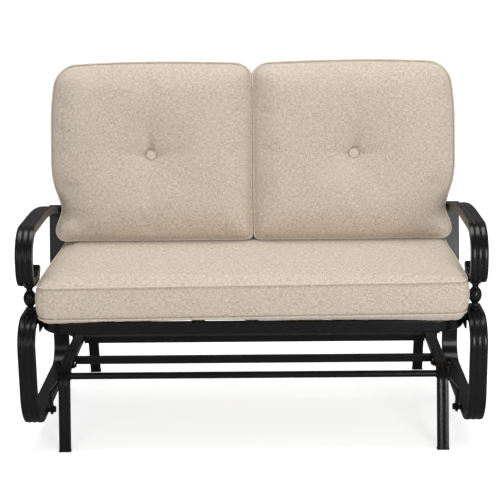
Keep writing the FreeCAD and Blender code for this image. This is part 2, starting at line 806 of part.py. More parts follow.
arm_bolts, arm_plates = [], []
for side, side_name in SIDES:
    body = doc.addObject("PartDesign::Body", f"arm_bolt_{side_name}")
    head = sketch_on(body, "XZ_Plane", z="-band_thick / 2 - band_lobe_rise")
    circle(head, "small_head_radius")
    pad(body, head, "small_head_tall", reverse=True)
    shank = sketch_on(body, "XZ_Plane", z="-band_thick / 2 - band_lobe_rise")
    circle(shank, "small_bolt_radius")
    pad(body, shank, "band_thick + band_lobe_rise + arm_plate_thick")
    arm_bolts.append(place(body, f"{side} * {BAND_X}", ARM_BOLT_Y, ARM_LEVEL, LEAN))
    body = doc.addObject("PartDesign::Body", f"arm_plate_{side_name}")
    plate = sketch_on(body, "XZ_Plane", z="band_thick / 2")
    box_outline(plate, "band_width", "band_thick", "band_edge")
    circle(plate, THREAD)
    pad(body, plate, "arm_plate_thick")
    arm_plates.append(place(body, f"{side} * {BAND_X}", ARM_BOLT_Y, ARM_LEVEL, LEAN))
group(arm_bolts, "arm_bolts")
group(arm_plates, "arm_end_plates")

# Moving pivots: a shoulder bolt in each link's lower eye, held by an insert in the runner's wall.

LIP_FACE = "(link_runner_gap - bushing_lip_thick)"
HEAD_FACE = "(link_runner_gap + link_thick + bushing_lip_thick + seat_gap)"
bolts, spacers, inserts = [], [], []
BORE = "pivot_radius + pivot_clearance"


def wall_insert(name):
    """A threaded insert in a tube's wall: a lip on the face and a sleeve behind it."""
    return turned(
        name,
        (
            ("-insert_lip", BORE),
            ("insert_long", BORE),
            ("insert_long", "insert_radius"),
            ("0", "insert_radius"),
            ("0", "spacer_radius"),
            ("-insert_lip", "spacer_radius"),
        ),
    )


for side, side_name in SIDES:
    for end, pivot_y in PIVOTS:
        tag = f"{end}_{side_name}"
        spot = (BAND_INNER_X, pivot_y, "runner_height")
        shoulder_bolt = turned(
            f"lower_bolt_{tag}",
            (
                ("insert_long", "0"),
                ("insert_long", "pivot_radius"),
                (f"-{HEAD_FACE}", "pivot_radius"),
                (f"-{HEAD_FACE}", "bolt_head_radius"),
                (f"-{HEAD_FACE} - bolt_head_tall", "bolt_head_radius"),
                (f"-{HEAD_FACE} - bolt_head_tall", "0"),
            ),
        )
        bolts.append(facing(shoulder_bolt, side, *spot))
        inserts.append(facing(wall_insert(f"lower_insert_{tag}"), side, *spot))
        face = f"seat_gap - {LIP_FACE}"
        collar = sleeve(f"lower_spacer_{tag}", face, "-insert_lip", "spacer_radius", BORE)
        spacers.append(facing(collar, side, *spot))
group(bolts, "lower_pivot_bolts")
group(inserts, "lower_pivot_inserts")
group(spacers, "lower_pivot_spacers")

# Seat rail: a flat tube bent into a U in front of and beside the seat, closed by a straight rear
# rail, with level slats let in between the two.

SEAT_SIDE_X = f"({BAND_INNER_X} - bracket_thick - seat_rail_deep / 2)"
SEAT_TOP = f"({SEAT_LEVEL} + seat_rail_tall / 2)"

body = doc.addObject("PartDesign::Body", "seat_rail")
section = sketch_on(body, "XZ_Plane", SEAT_SIDE_X, SEAT_LEVEL, "-seat_rail_end_y")
tube_section(section, "seat_rail_deep", "seat_rail_tall", "tube_wall", "seat_rail_edge")
path = sketch_on(body, "XY_Plane", z=SEAT_LEVEL)
bent_line(
    path,
    (
        (SEAT_SIDE_X, "seat_rail_end_y", None),
        (SEAT_SIDE_X, "seat_rail_front_y", "seat_rail_bend"),
        (f"-{SEAT_SIDE_X}", "seat_rail_front_y", "seat_rail_bend"),
        (f"-{SEAT_SIDE_X}", "seat_rail_end_y", None),
    ),
)
pipe(body, section, path)
holes = sketch_on(body, "YZ_Plane")
circle(holes, "small_bolt_radius + fit_clearance", "bracket_bolt_y", SEAT_BOLT_Z)
circle(holes, "small_bolt_radius + fit_clearance", "post_y", SEAT_BOLT_Z)
pocket(body, holes, "overall_width", symmetric=True)
keep(body, "seat_rail")

body = doc.addObject("PartDesign::Body", "seat_rear_rail")
section = sketch_on(body, "YZ_Plane", "seat_rear_rail_y", SEAT_LEVEL)
tube_section(section, "seat_rail_deep", "seat_rail_tall", "tube_wall", "seat_rail_edge")
pad(body, section, f"2 * {SEAT_SIDE_X} - seat_rail_deep", symmetric=True)
keep(body, "seat_rear_rail")

slats = []
for number in range(int(size("slat_count"))):
    slat = doc.addObject("Part::Box", f"seat_slat_{number + 1}")
    bind(
        slat,
        Length="seat_slat_width",
        Width="seat_rear_rail_y - seat_rail_front_y - seat_rail_deep",
        Height="slat_thick",
    )
    column = f"({number} - (slat_count - 1) / 2) * seat_slat_pitch"
    place(
        slat,
        f"{column} - seat_slat_width / 2",
        "seat_rail_front_y + seat_rail_deep / 2",
        f"{SEAT_TOP} - seat_rail_edge - slat_thick",
    )
    slats.append(slat)
group(slats, "seat_slats")

# Seat brackets: bent plates under the side bands that carry the seat rail.

body = doc.addObject("PartDesign::Body", "seat_bracket")
section = sketch_on(body, "XZ_Plane", f"{BAND_INNER_X} - bracket_thick", BAND_UNDER, "-bracket_front_y")
bent_line(
    section,
    (
        ("0", "0", "bracket_bend"),
        ("0", "-bracket_drop", None),
        ("bracket_thick", "-bracket_drop", None),
        ("bracket_thick", "-bracket_thick", "bracket_inner_bend"),
        ("bracket_flange", "-bracket_thick", None),
        ("bracket_flange", "0", None),
    ),
    closed=True,
)
pad(body, section, "bracket_long", reverse=True)
BRACKET_X = f"{BAND_INNER_X} - bracket_thick / 2"
level_hole = sketch_on(body, "YZ_Plane", "bracket_bolt_y", SEAT_BOLT_Z, BRACKET_X)
circle(level_hole, "small_bolt_radius + fit_clearance")
pocket(body, level_hole, "3 * bracket_thick", symmetric=True)
upright_hole = sketch_on(body, "XY_Plane", BAND_X, "spindle_y", f"{BAND_UNDER} - bracket_thick / 2")
circle(upright_hole, "small_bolt_radius + fit_clearance")
pocket(body, upright_hole, "3 * bracket_thick", symmetric=True)
keep(body, "seat_bracket_right")
mirrored(body, "seat_bracket_left")

# Seat rail bolts: one through each bracket, one through a spacer into each post's insert.

rail_bolts, rail_nuts, rail_spacers, post_inserts = [], [], [], []
for side, side_name in SIDES:
    for end, bolt_y, tip in (
        ("front", "bracket_bolt_y", "small_head_tall"),
        ("rear", "post_y", "insert_long"),
    ):
        head = "-(bracket_thick + seat_rail_deep)"
        rail_bolt = turned(
            f"rail_bolt_{end}_{side_name}",
            (
                (tip, "0"),
                (tip, "small_bolt_radius"),
                (head, "small_bolt_radius"),
                (head, "small_head_radius"),
                (f"{head} - small_head_tall", "small_head_radius"),
                (f"{head} - small_head_tall", "0"),
            ),
        )
        rail_bolts.append(facing(rail_bolt, side, BAND_INNER_X, bolt_y, SEAT_BOLT_Z))
    nut = sleeve(f"rail_nut_{side_name}", "0", "small_head_tall", "small_head_radius", THREAD)
    rail_nuts.append(facing(nut, side, BAND_INNER_X, "bracket_bolt_y", SEAT_BOLT_Z))
    collar = sleeve(f"rail_spacer_{side_name}", "-bracket_thick", "0", "spacer_radius", THREAD)
    rail_spacers.append(facing(collar, side, BAND_INNER_X, "post_y", SEAT_BOLT_Z))
    insert = sleeve(f"post_insert_{side_name}", "0", "insert_long", "insert_radius", THREAD)
    post_inserts.append(facing(insert, side, BAND_INNER_X, "post_y", SEAT_BOLT_Z))
group(rail_bolts, "seat_rail_bolts")
group(rail_nuts, "seat_bracket_nuts")
group(rail_spacers, "seat_rail_spacers")
group(post_inserts, "post_inserts")

# Back frame: a low rail welded between the posts, flush with their front faces, a top rail whose
# bent ends stand on it beside the posts, and flat slats let in between the two.

BACK_MIDDLE = "(back_rail_deep - band_thick) / 2"
body = doc.addObject("PartDesign::Body", "back_low_rail")
section = sketch_on(body, "YZ_Plane", BACK_MIDDLE, "back_low_rail_reach")
tube_section(section, "back_rail_deep", "back_rail_tall", "tube_wall", "tube_edge")
pad(body, section, f"2 * {BAND_INNER_X}", symmetric=True)
place(body, "0", "post_y", "lean_height", LEAN)
keep(body, "back_low_rail")

body = doc.addObject("PartDesign::Body", "back_top_rail")
LEG_X = f"({BAND_INNER_X} - back_rail_tall / 2)"
LEG_LOW = "(back_low_rail_reach + back_rail_tall / 2)"
section = sketch_on(body, "XY_Plane", LEG_X, BACK_MIDDLE, LEG_LOW)
tube_section(section, "back_rail_tall", "back_rail_deep", "tube_wall", "tube_edge")
path = sketch_on(body, "XZ_Plane", z=f"-{BACK_MIDDLE}")
bent_line(
    path,
    (
        (LEG_X, LEG_LOW, None),
        (LEG_X, "back_top_rail_reach", "back_top_bend"),
        (f"-{LEG_X}", "back_top_rail_reach", "back_top_bend"),
        (f"-{LEG_X}", LEG_LOW, None),
    ),
)
pipe(body, section, path)
place(body, "0", "post_y", "lean_height", LEAN)
keep(body, "back_top_rail")

slats = []
for number in range(int(size("slat_count"))):
    slat = doc.addObject("Part::Box", f"back_slat_{number + 1}")
    bind(
        slat,
        Length="back_slat_width",
        Width="slat_thick",
        Height="back_top_rail_reach - back_low_rail_reach - back_rail_tall",
    )
    column = f"({number} - (slat_count - 1) / 2) * back_slat_pitch"
    slat_y, slat_z = lean_spot("tube_edge - band_thick / 2", "back_low_rail_reach + back_rail_tall / 2")
    slats.append(place(slat, f"{column} - back_slat_width / 2", slat_y, slat_z, LEAN))
group(slats, "back_slats")

# End plugs: a cap over each open tube end, with a stem inside it.

for label, end_y, end_z, turn in (
    ("band_end_plugs", "band_end_y", "band_top_height", "-90"),
    ("arm_end_plugs", HOOK_END_Y, HOOK_END_Z, "hook_end_angle - 90"),
    ("post_end_plugs", POST_TOP_Y, POST_TOP, LEAN),
):
    plugs = []
    for side, side_name in SIDES:
        body = doc.addObject("PartDesign::Body", f"{label}_{side_name}")
        cap = sketch_on(body, "XY_Plane")
        box_outline(cap, "band_width", "band_thick", "band_edge")
        pad(body, cap, "plug_cap_thick")
        stem = sketch_on(body, "XY_Plane")
        inside = "- 2 * band_wall - 2 * fit_clearance"
        box_outline(stem, f"band_width {inside}", f"band_thick {inside}")
        pad(body, stem, "plug_stem_long", reverse=True)
        plugs.append(place(body, f"{side} * {BAND_X}", end_y, end_z, turn))
    group(plugs, label)

# Cushions: closed ruled lofts through sections of lines and arcs. They read their sizes from the
# sheet here. A station is (share of the way along the cushion, how far a rounded corner is in, 0 to 1).


def straight(first, last):
    return Part.LineSegment(first, last).toShape()


def bowed(first, last, bow):
    """An arc in a plane, bowed off its chord by a vector."""
    if bow.Length < TOUCHING:
        return straight(first, last)
    return Part.Arc(first, (first + last) / 2 + bow, last).toShape()


def quarter_turns(count):
    """How far along, and how far in, a rounded corner is at even steps of its quarter circle."""
    angles = [math.pi / 2 * step / count for step in range(count)]
    return [(math.sin(angle), 1 - math.cos(angle)) for angle in angles]


# Seat cushion: a long box cushion with a crowned top, bowed sides and rounded corners in plan.

SEAT_LOW = size("band_top_height") - size("seat_rail_drop") + size("seat_rail_tall") / 2
SEAT_LOW += size("seat_gap")
SEAT_EDGE = SEAT_LOW + size("seat_cushion_tall")
ARM_INNER_X = size("overall_width") / 2 - size("band_width")
seat_half = ARM_INNER_X - size("seat_cushion_gap")
seat_corner = size("seat_cushion_corner")
CORNER_FALL = 0.7
END_FALL = 0.25


def seat_section(x, inset, fullness, taper=0):
    """A section across the seat: flat below, bowed behind and in front, crowned above."""
    front = size("seat_cushion_front_y") + inset
    rear = size("seat_cushion_rear_y") - inset
    low, high = SEAT_LOW + taper, SEAT_EDGE - taper
    low_front, low_rear = Vector(x, front, low), Vector(x, rear, low)
    top_front, top_rear = Vector(x, front, high), Vector(x, rear, high)
    bow = Vector(0, size("seat_cushion_bulge"), 0)
    crown = Vector(0, 0, size("seat_cushion_crown") * fullness)
    return Part.Wire([
        straight(low_front, low_rear),
        bowed(low_rear, top_rear, bow * fullness / 2),
        bowed(top_rear, top_front, crown),
        bowed(top_front, low_front, -bow * fullness),
    ])


flat_steps = 5
corner_steps = 5
stations = [(step / flat_steps * (seat_half - seat_corner), 0) for step in range(flat_steps)]
stations += [(seat_half - seat_corner * (1 - along), into) for along, into in quarter_turns(corner_steps)]
stations = [(-x, into) for x, into in reversed(stations[1:])] + stations
piece = doc.addObject("Part::Feature", "seat_cushion")
sections = [
    seat_section(x, into * seat_corner, (1 - CORNER_FALL * into) * (1 - END_FALL * (x / seat_half) ** 2))
    for x, into in stations
]
taper = size("seat_end_taper")
end_x = seat_half + size("seat_end_bulge")
sections = [
    seat_section(-end_x, seat_corner + taper, 0, taper),
    *sections,
    seat_section(end_x, seat_corner + taper, 0, taper),
]
piece.Shape = Part.makeLoft(sections, True, True)
keep(piece, "seat_cushion")

# Back cushions: they stand on the seat cushion and lean on the posts and slats. Their outer sides
# draw in between the armrests and swell above them, and the top corners are round. One tuft sinks
# into the middle of each front.

lean = math.radians(size("lean_angle"))
UP = Vector(0, math.sin(lean), math.cos(lean))
FORWARD = Vector(0, -math.cos(lean), math.sin(lean))
LEAN_ORIGIN = Vector(0, size("post_y"), size("lean_height"))
BACK_FACE = size("band_thick") / 2 + size("seat_gap")
BACK_LOW = SEAT_EDGE + size("seat_cushion_crown") + size("seat_gap")
LOW_REACH = (BACK_LOW - size("lean_height")) / math.cos(lean)
TALL = size("back_cushion_top_reach") - LOW_REACH
ARM_MIDDLE = size("band_top_height") + size("arm_rise") + size("arm_crown_rise") / 2 - size("lean_height")
ARM_REACH = ARM_MIDDLE * math.cos(lean) + (size("arm_crown_y") - size("post_y")) * math.sin(lean) / 2
BACK_OUTER = ARM_INNER_X + size("band_width") / 2 - size("back_cushion_inset")
PINCH = BACK_OUTER - ARM_INNER_X + size("back_cushion_arm_gap")


def lean_point(x, ahead, reach):
    return LEAN_ORIGIN + Vector(x, 0, 0) + FORWARD * ahead + UP * reach


def back_front(share):
    """How far the seam of a back cushion's front stands ahead of the posts, up the cushion."""
    belly = size("back_cushion_belly") * math.sin(math.pi * share)
    return BACK_FACE + size("back_cushion_thick") + belly


def back_section(side, share, into):
    """A section square to the lean, or level where the cushion stands on the seat."""
    corner = size("back_cushion_corner") * into
    reach = LOW_REACH + TALL * share
    pinched = math.exp(-(((reach - ARM_REACH) / size("back_cushion_pinch_spread")) ** 2))
    inner = side * (size("cushion_part_gap") / 2 + corner)
    outer = side * (BACK_OUTER - corner - PINCH * pinched)
    back = BACK_FACE + size("back_cushion_thick") * into / 2
    front = back_front(share) - size("back_cushion_thick") * into / 2
    spots = [
        lean_point(x, ahead, reach)
        for x, ahead in ((inner, back), (outer, back), (outer, front), (inner, front))
    ]
    ahead = FORWARD
    if share == 0:
        spots = [spot + UP * ((BACK_LOW - spot.z) / UP.z) for spot in spots]
        ahead = Vector(0, -1, 0)
    side_bow = side * size("back_side_bow") * (1 - into) * (1 - pinched)
    return Part.Wire([
        straight(spots[0], spots[1]),
        bowed(spots[1], spots[2], Vector(side_bow, 0, 0)),
        bowed(spots[2], spots[3], ahead * size("back_cushion_crown") * (1 - into)),
        straight(spots[3], spots[0]),
    ])


straight_share = 1 - size("back_cushion_corner") / TALL
flat_steps = 12
corner_steps = 6
stations = [(straight_share * step / flat_steps, 0) for step in range(flat_steps)]
stations += [
    (straight_share + (1 - straight_share) * along, into) for along, into in quarter_turns(corner_steps)
]
tuft_share = (size("tuft_reach") - LOW_REACH) / TALL
tuft_x = (size("cushion_part_gap") / 2 + BACK_OUTER) / 2
tuft_front = back_front(tuft_share) + size("back_cushion_crown")
tuft_ball = (size("tuft_radius") ** 2 + size("tuft_depth") ** 2) / (2 * size("tuft_depth"))
button_back = tuft_front - size("tuft_depth") + size("seat_gap")
button_back += tuft_ball - math.sqrt(tuft_ball**2 - size("button_radius") ** 2)
buttons = []
for side, side_name in SIDES:
    block = Part.makeLoft([back_section(side, share, into) for share, into in stations], True, True)
    tuft_middle = tuft_front - size("tuft_depth") + tuft_ball
    ball = Part.makeSphere(tuft_ball, lean_point(side * tuft_x, tuft_middle, size("tuft_reach")))
    piece = doc.addObject("Part::Feature", f"back_cushion_{side_name}")
    piece.Shape = block.cut(ball)
    keep(piece, f"back_cushion_{side_name}")
    button = turned(
        f"button_{side_name}",
        (
            ("0", "0"),
            ("0", "button_radius"),
            ("button_thick", "button_radius", "button_edge"),
            ("button_thick", "0"),
        ),
        "V_Axis",
    )
    spot = lean_point(side * tuft_x, button_back, size("tuft_reach"))
    button.Placement = Placement(spot, Rotation(ACROSS, 90 - size("lean_angle")))
    buttons.append(button)
group(buttons, "back_buttons")

# Check every object, then write each piece to its own file.

doc.recompute()
failed = [thing.Label for thing in doc.Objects if {"Invalid", "Error"} & set(thing.State)]
if failed:
    raise ValueError(f"failed: {failed}")
for thing in parts:
    if thing.Shape.isNull() or not thing.Shape.isValid():
        raise ValueError(f"{thing.Label}: no valid shape")
os.makedirs("parts", exist_ok=True)
for thing in parts:
    thing.Shape.exportStep(f"parts/{thing.Label}.step")
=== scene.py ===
import math

import bpy
import numpy as np
from mathutils import Matrix, Vector, noise


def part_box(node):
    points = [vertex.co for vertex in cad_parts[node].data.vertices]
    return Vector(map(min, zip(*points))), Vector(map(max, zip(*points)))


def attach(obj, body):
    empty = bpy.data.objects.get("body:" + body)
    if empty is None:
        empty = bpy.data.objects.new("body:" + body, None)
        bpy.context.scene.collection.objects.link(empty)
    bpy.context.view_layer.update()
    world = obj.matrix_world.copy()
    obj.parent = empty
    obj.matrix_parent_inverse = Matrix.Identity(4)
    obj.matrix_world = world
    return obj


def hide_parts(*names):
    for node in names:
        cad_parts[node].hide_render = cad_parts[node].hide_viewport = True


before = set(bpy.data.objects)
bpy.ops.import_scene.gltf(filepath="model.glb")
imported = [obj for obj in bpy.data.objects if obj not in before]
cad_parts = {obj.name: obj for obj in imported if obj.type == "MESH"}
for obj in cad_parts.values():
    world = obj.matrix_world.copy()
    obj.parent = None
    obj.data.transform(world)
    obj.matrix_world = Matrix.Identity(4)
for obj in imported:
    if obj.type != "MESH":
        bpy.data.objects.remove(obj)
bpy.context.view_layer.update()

# Side frames and cross tubes of the base: steel tube bent to shape, welded, then powder coated.
# The coat is a semi-gloss black with a fine orange peel, a shade greyer and duller where dust lies.


class Wire:
    """A socket of a finish that can be added and multiplied like a number."""

    def __init__(self, finish, socket):
        self.finish = finish
        self.socket = socket

    def sum_of(self, operation, first, second=0.0):
        return self.finish.node("ShaderNodeMath", {"operation": operation}, {0: first, 1: second})

    def __add__(self, other):
        return self.sum_of("ADD", self, other)

    def __radd__(self, other):
        return self.sum_of("ADD", other, self)

    def __sub__(self, other):
        return self.sum_of("SUBTRACT", self, other)

    def __rsub__(self, other):
        return self.sum_of("SUBTRACT", other, self)

    def __mul__(self, other):
        return self.sum_of("MULTIPLY", self, other)

    def __rmul__(self, other):
        return self.sum_of("MULTIPLY", other, self)

    def __abs__(self):
        return self.sum_of("ABSOLUTE", self)


class Finish:
    """One surface finish, or the surround's: its shader and the nodes that feed it.

    Fixed socket values are given by name, with _ for a space.
    """

    def __init__(self, name, kind="materials", shader="Principled BSDF", **fixed):
        self.look = getattr(bpy.data, kind).new(name)
        self.look.use_nodes = True
        self.nodes = self.look.node_tree.nodes
        self.links = self.look.node_tree.links
        self.shader = self.nodes[shader]
        for socket, value in fixed.items():
            self.feed(self.shader.inputs[socket.replace("_", " ")], value)

    def feed(self, socket, value):
        if isinstance(value, Wire):
            self.links.new(value.socket, socket)
        elif hasattr(value, "__len__") and len(value) == 3 and socket.type == "RGBA":
            socket.default_value = (*value, 1.0)
        else:
            socket.default_value = value

    def node(self, kind, settings, inputs, output=0):
        made = self.nodes.new(kind)
        for name, value in settings.items():
            setattr(made, name, value)
        for name, value in inputs.items():
            self.feed(made.inputs[name], value)
        return Wire(self, made.outputs[output])

    def spot(self, kind="Object"):
        """The place on the piece, in metres, or its normal."""
        return self.node("ShaderNodeTexCoord", {}, {}, kind)

    def axes(self, vector):
        return [
            self.node("ShaderNodeSeparateXYZ", {}, {"Vector": vector}, axis) for axis in range(3)
        ]

    def vector(self, x, y, z=0.0):
        return self.node("ShaderNodeCombineXYZ", {}, {0: x, 1: y, 2: z})

    def speckle(self, vector, scale, detail=2.0):
        """Cloudy grain from 0 to 1, with scale grains to a unit of the vector."""
        return self.node(
            "ShaderNodeTexNoise", {}, {"Vector": vector, "Scale": scale, "Detail": detail}
        )

    def step(self, value, low, high):
        """0 below low, 1 above high, and an even ramp between."""
        return self.node(
            "ShaderNodeMapRange", {}, {"Value": value, "From Min": low, "From Max": high}
        )

    def blend(self, share, first, second):
        """The first colour at share 0, the second at share 1."""
        return self.node(
            "ShaderNodeMix", {"data_type": "RGBA"}, {0: share, 6: first, 7: second}, 2
        )

    def bump(self, height, distance, strength):
        made = self.node(
            "ShaderNodeBump", {}, {"Height": height, "Distance": distance, "Strength": strength}
        )
        self.feed(self.shader.inputs["Normal"], made)

    def set(self, socket, value):
        self.feed(self.shader.inputs[socket], value)

    def coat(self, node):
        """Puts this finish on a carried-over piece."""
        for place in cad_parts[node].material_slots:
            place.material = self.look


coat_colour = (0.0060, 0.0060, 0.0064)
coat_dusty = (0.0110, 0.0108, 0.0106)
coat_rough, cloud_rough, dust_rough = 0.24, 0.06, 0.12
clouds_per_metre, cloud_range = 9.0, (0.35, 0.7)
upward_range = (0.35, 1.0)
most_dust = 0.5
peel_per_metre, peel_height, peel_strength = 650.0, 0.0001, 0.35
powder_coat = Finish("powder_coat", IOR=1.42)
spot = powder_coat.spot()
clouds = powder_coat.step(powder_coat.speckle(spot, clouds_per_metre, 4.0), *cloud_range)
upward = powder_coat.step(powder_coat.axes(powder_coat.spot("Normal"))[2], *upward_range)
dust = clouds * upward * most_dust
powder_coat.set("Base Color", powder_coat.blend(dust, coat_colour, coat_dusty))
powder_coat.set("Roughness", coat_rough + cloud_rough * clouds + dust_rough * dust)
powder_coat.bump(powder_coat.speckle(spot, peel_per_metre), peel_height, peel_strength)

for node in (
    "base_side_left",
    "base_side_right",
    "base_front_stretcher",
    "base_rear_stretcher",
    "base_front_hanger_tube",
    "base_rear_hanger_tube",
):
    powder_coat.coat(node)

# Weld beads where the cross tubes meet the side frames: a fillet of weld run once round each end,
# small and rippled, then coated together with the tubes.

bead_radius = 0.0016
bead_ripple = 0.0003
bead_pitch = 0.0024
stretcher_radius = 0.009
rear_stretcher_half = 0.011
hanger_tube_half = 0.0095
tube_corner = 0.002


def add_mesh(name, points, faces):
    """A smooth mesh object from points in metres and faces of point numbers."""
    mesh = bpy.data.meshes.new(name)
    mesh.from_pydata([tuple(point) for point in points], [], [tuple(face) for face in faces])
    mesh.update()
    mesh.polygons.foreach_set("use_smooth", [True] * len(mesh.polygons))
    thing = bpy.data.objects.new(name, mesh)
    bpy.context.scene.collection.objects.link(thing)
    return thing


def ring_faces(rows, around, closed):
    """Quads that join rows of points; each row is a closed ring of the same count."""
    joined = rows if closed else rows - 1
    return [
        (
            row * around + step,
            row * around + (step + 1) % around,
            (row + 1) % rows * around + (step + 1) % around,
            (row + 1) % rows * around + step,
        )
        for row in range(joined)
        for step in range(around)
    ]


def cord_mesh(name, line, outward, radii, around=8):
    """A closed cord along a closed line, with outward a way out of it at each point."""
    line = np.array(line, float)
    outward = np.array(outward, float)
    along = np.roll(line, -1, 0) - np.roll(line, 1, 0)
    along /= np.linalg.norm(along, axis=1)[:, None]
    outward -= along * np.sum(outward * along, axis=1)[:, None]
    outward /= np.linalg.norm(outward, axis=1)[:, None]
    across = np.cross(along, outward)
    turns = np.linspace(0, 2 * math.pi, around, endpoint=False)
    cos, sin = np.cos(turns)[None, :, None], np.sin(turns)[None, :, None]
    spokes = cos * outward[:, None] + sin * across[:, None]
    points = line[:, None] + spokes * np.array(radii, float)[:, None, None]
    return add_mesh(name, points.reshape(-1, 3), ring_faces(len(line), around, True))


def rounded_ring(half_wide, half_tall, corner, step):
    """Points round a rounded rectangle, at about even steps, with the way out at each."""
    points, ways = [], []
    for turn in range(4):
        first = math.pi / 2 * turn
        centre = (
            (half_wide - corner) * (1 if turn in (0, 3) else -1),
            (half_tall - corner) * (1 if turn in (0, 1) else -1),
        )
        count = max(3, round(corner * math.pi / 2 / step))
        for part in range(count + 1):
            angle = first + math.pi / 2 * part / count
            way = (math.cos(angle), math.sin(angle))
            points.append((centre[0] + corner * way[0], centre[1] + corner * way[1]))
            ways.append(way)
    even, even_ways = [], []
    for number, point in enumerate(points):
        after = points[(number + 1) % len(points)]
        length = math.dist(point, after)
        count = max(1, round(length / step))
        for part in range(count):
            share = part / count
            even.append([point[k] + (after[k] - point[k]) * share for k in (0, 1)])
            way = [
                ways[number][k] + (ways[(number + 1) % len(points)][k] - ways[number][k]) * share
                for k in (0, 1)
            ]
            even_ways.append(way)
    return even, even_ways


def weld_bead(name, body, place, half_wide, half_tall, corner):
    """A bead round a tube's end. place turns the ring's own x and y into the tube's outline."""
    ring, ways = rounded_ring(half_wide, half_tall, corner, bead_pitch / 4)
    line = [place @ Vector((x, y, bead_radius / 3)) for x, y in ring]
    outward = [place.to_3x3() @ Vector((x, y, 0)) for x, y in ways]
    radii = [
        bead_radius + bead_ripple * math.sin(math.pi / 2 * number) for number in range(len(ring))
    ]
    bead = cord_mesh(name, line, outward, radii, 6)
    bead.data.materials.append(powder_coat.look)
    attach(bead, body)


def weld_tube_ends(node, body, half_deep, half_tall, corner, lean=0.0):
    """A bead round each end of a tube that runs across the bench."""
    low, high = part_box(node)
    centre = (low + high) / 2
    for end, x, inward in (("left", low.x, 1), ("right", high.x, -1)):
        place = (
            Matrix.Translation((x, centre.y, centre.z))
            @ Matrix.Rotation(-lean, 4, "X")
            @ Matrix.Rotation(math.pi / 2 * inward, 4, "Y")
        )
        weld_bead(f"weld_{node}_{end}", body, place, half_tall, half_deep, corner)


for node, half, corner in (
    ("base_front_stretcher", stretcher_radius, stretcher_radius),
    ("base_rear_stretcher", rear_stretcher_half, tube_corner),
    ("base_front_hanger_tube", hanger_tube_half, tube_corner),
    ("base_rear_hanger_tube", hanger_tube_half, tube_corner),
):
    weld_tube_ends(node, "base", half, half, corner)

# Foot plugs, tube end plugs and link bushings: black nylon, moulded with a fine matte texture.
# The plugs are driven into the open tube ends, the bushings are pressed into the eyes of the links.

nylon_colour = (0.0095, 0.0095, 0.0100)
nylon_rough, nylon_spread, nylon_clouds_per_metre = 0.5, 0.12, 60.0
nylon_grain_per_metre, nylon_grain_height, nylon_grain_strength = 1400.0, 0.00008, 0.5
plastic = Finish("moulded_nylon", Base_Color=nylon_colour, IOR=1.5)
spot = plastic.spot()
nylon_clouds = plastic.speckle(spot, nylon_clouds_per_metre)
plastic.set("Roughness", nylon_rough + nylon_spread * nylon_clouds)
nylon_grain = plastic.speckle(spot, nylon_grain_per_metre)
plastic.bump(nylon_grain, nylon_grain_height, nylon_grain_strength)
for node in (
    "base_foot_plugs",
    "band_end_plugs",
    "arm_end_plugs",
    "post_end_plugs",
    "link_front_left_bushings",
    "link_front_right_bushings",
    "link_rear_left_bushings",
    "link_rear_right_bushings",
):
    plastic.coat(node)

# Pivot bolts, nuts, spacers and inserts, and the bolts of the seat: turned and headed steel with a
# black oxide, brighter where a tool has rubbed.

oxide_dark = (0.022, 0.022, 0.024)
oxide_rubbed = (0.13, 0.126, 0.122)
oxide_rough, rubbed_smoother = 0.38, 0.1
rubbed_per_metre, rubbed_range = 240.0, (0.52, 0.75)
oxide_grain_per_metre, oxide_grain_height, oxide_grain_strength = 1800.0, 0.00004, 0.4
hardware = Finish("black_oxide", Metallic=0.75, IOR=1.6)
spot = hardware.spot()
rubbed = hardware.step(hardware.speckle(spot, rubbed_per_metre, 3.0), *rubbed_range)
hardware.set("Base Color", hardware.blend(rubbed, oxide_dark, oxide_rubbed))
hardware.set("Roughness", oxide_rough - rubbed_smoother * rubbed)
oxide_grain = hardware.speckle(spot, oxide_grain_per_metre)
hardware.bump(oxide_grain, oxide_grain_height, oxide_grain_strength)
for node in (
    "upper_pivot_bolts",
    "upper_pivot_nuts",
    "upper_pivot_spacers",
    "lower_pivot_bolts",
    "lower_pivot_inserts",
    "lower_pivot_spacers",
    "seat_rail_bolts",
    "seat_rail_spacers",
    "seat_bracket_nuts",
    "post_inserts",
    "arm_bolts",
    "spindle_bolts",
    "spindle_nuts",
):
    hardware.coat(node)

# Hanger links: flat steel bars, sheared, pierced at both eyes and joggled in a press, coated like
# the tubes. The seat hangs in them from the base.

for node in ("link_front_left", "link_front_right", "link_rear_left", "link_rear_right"):
    powder_coat.coat(node)

# Side bands, armrests and spindles: fluted flat tube bent over rollers, with plates that close the
# rear ends of the arms, and turned posts bolted between band and arm, all in the same coat.

for node in (
    "side_band_left",
    "side_band_right",
    "arm_left",
    "arm_right",
    "arm_end_plates",
    "spindle_left",
    "spindle_right",
):
    powder_coat.coat(node)

# Seat rail, rear rail, slats and brackets, and the rails and slats of the back: tube and flat bar,
# welded, then coated. The top rail of the back is bent down at both ends and stands on the low
# rail, with a bead round each leg.

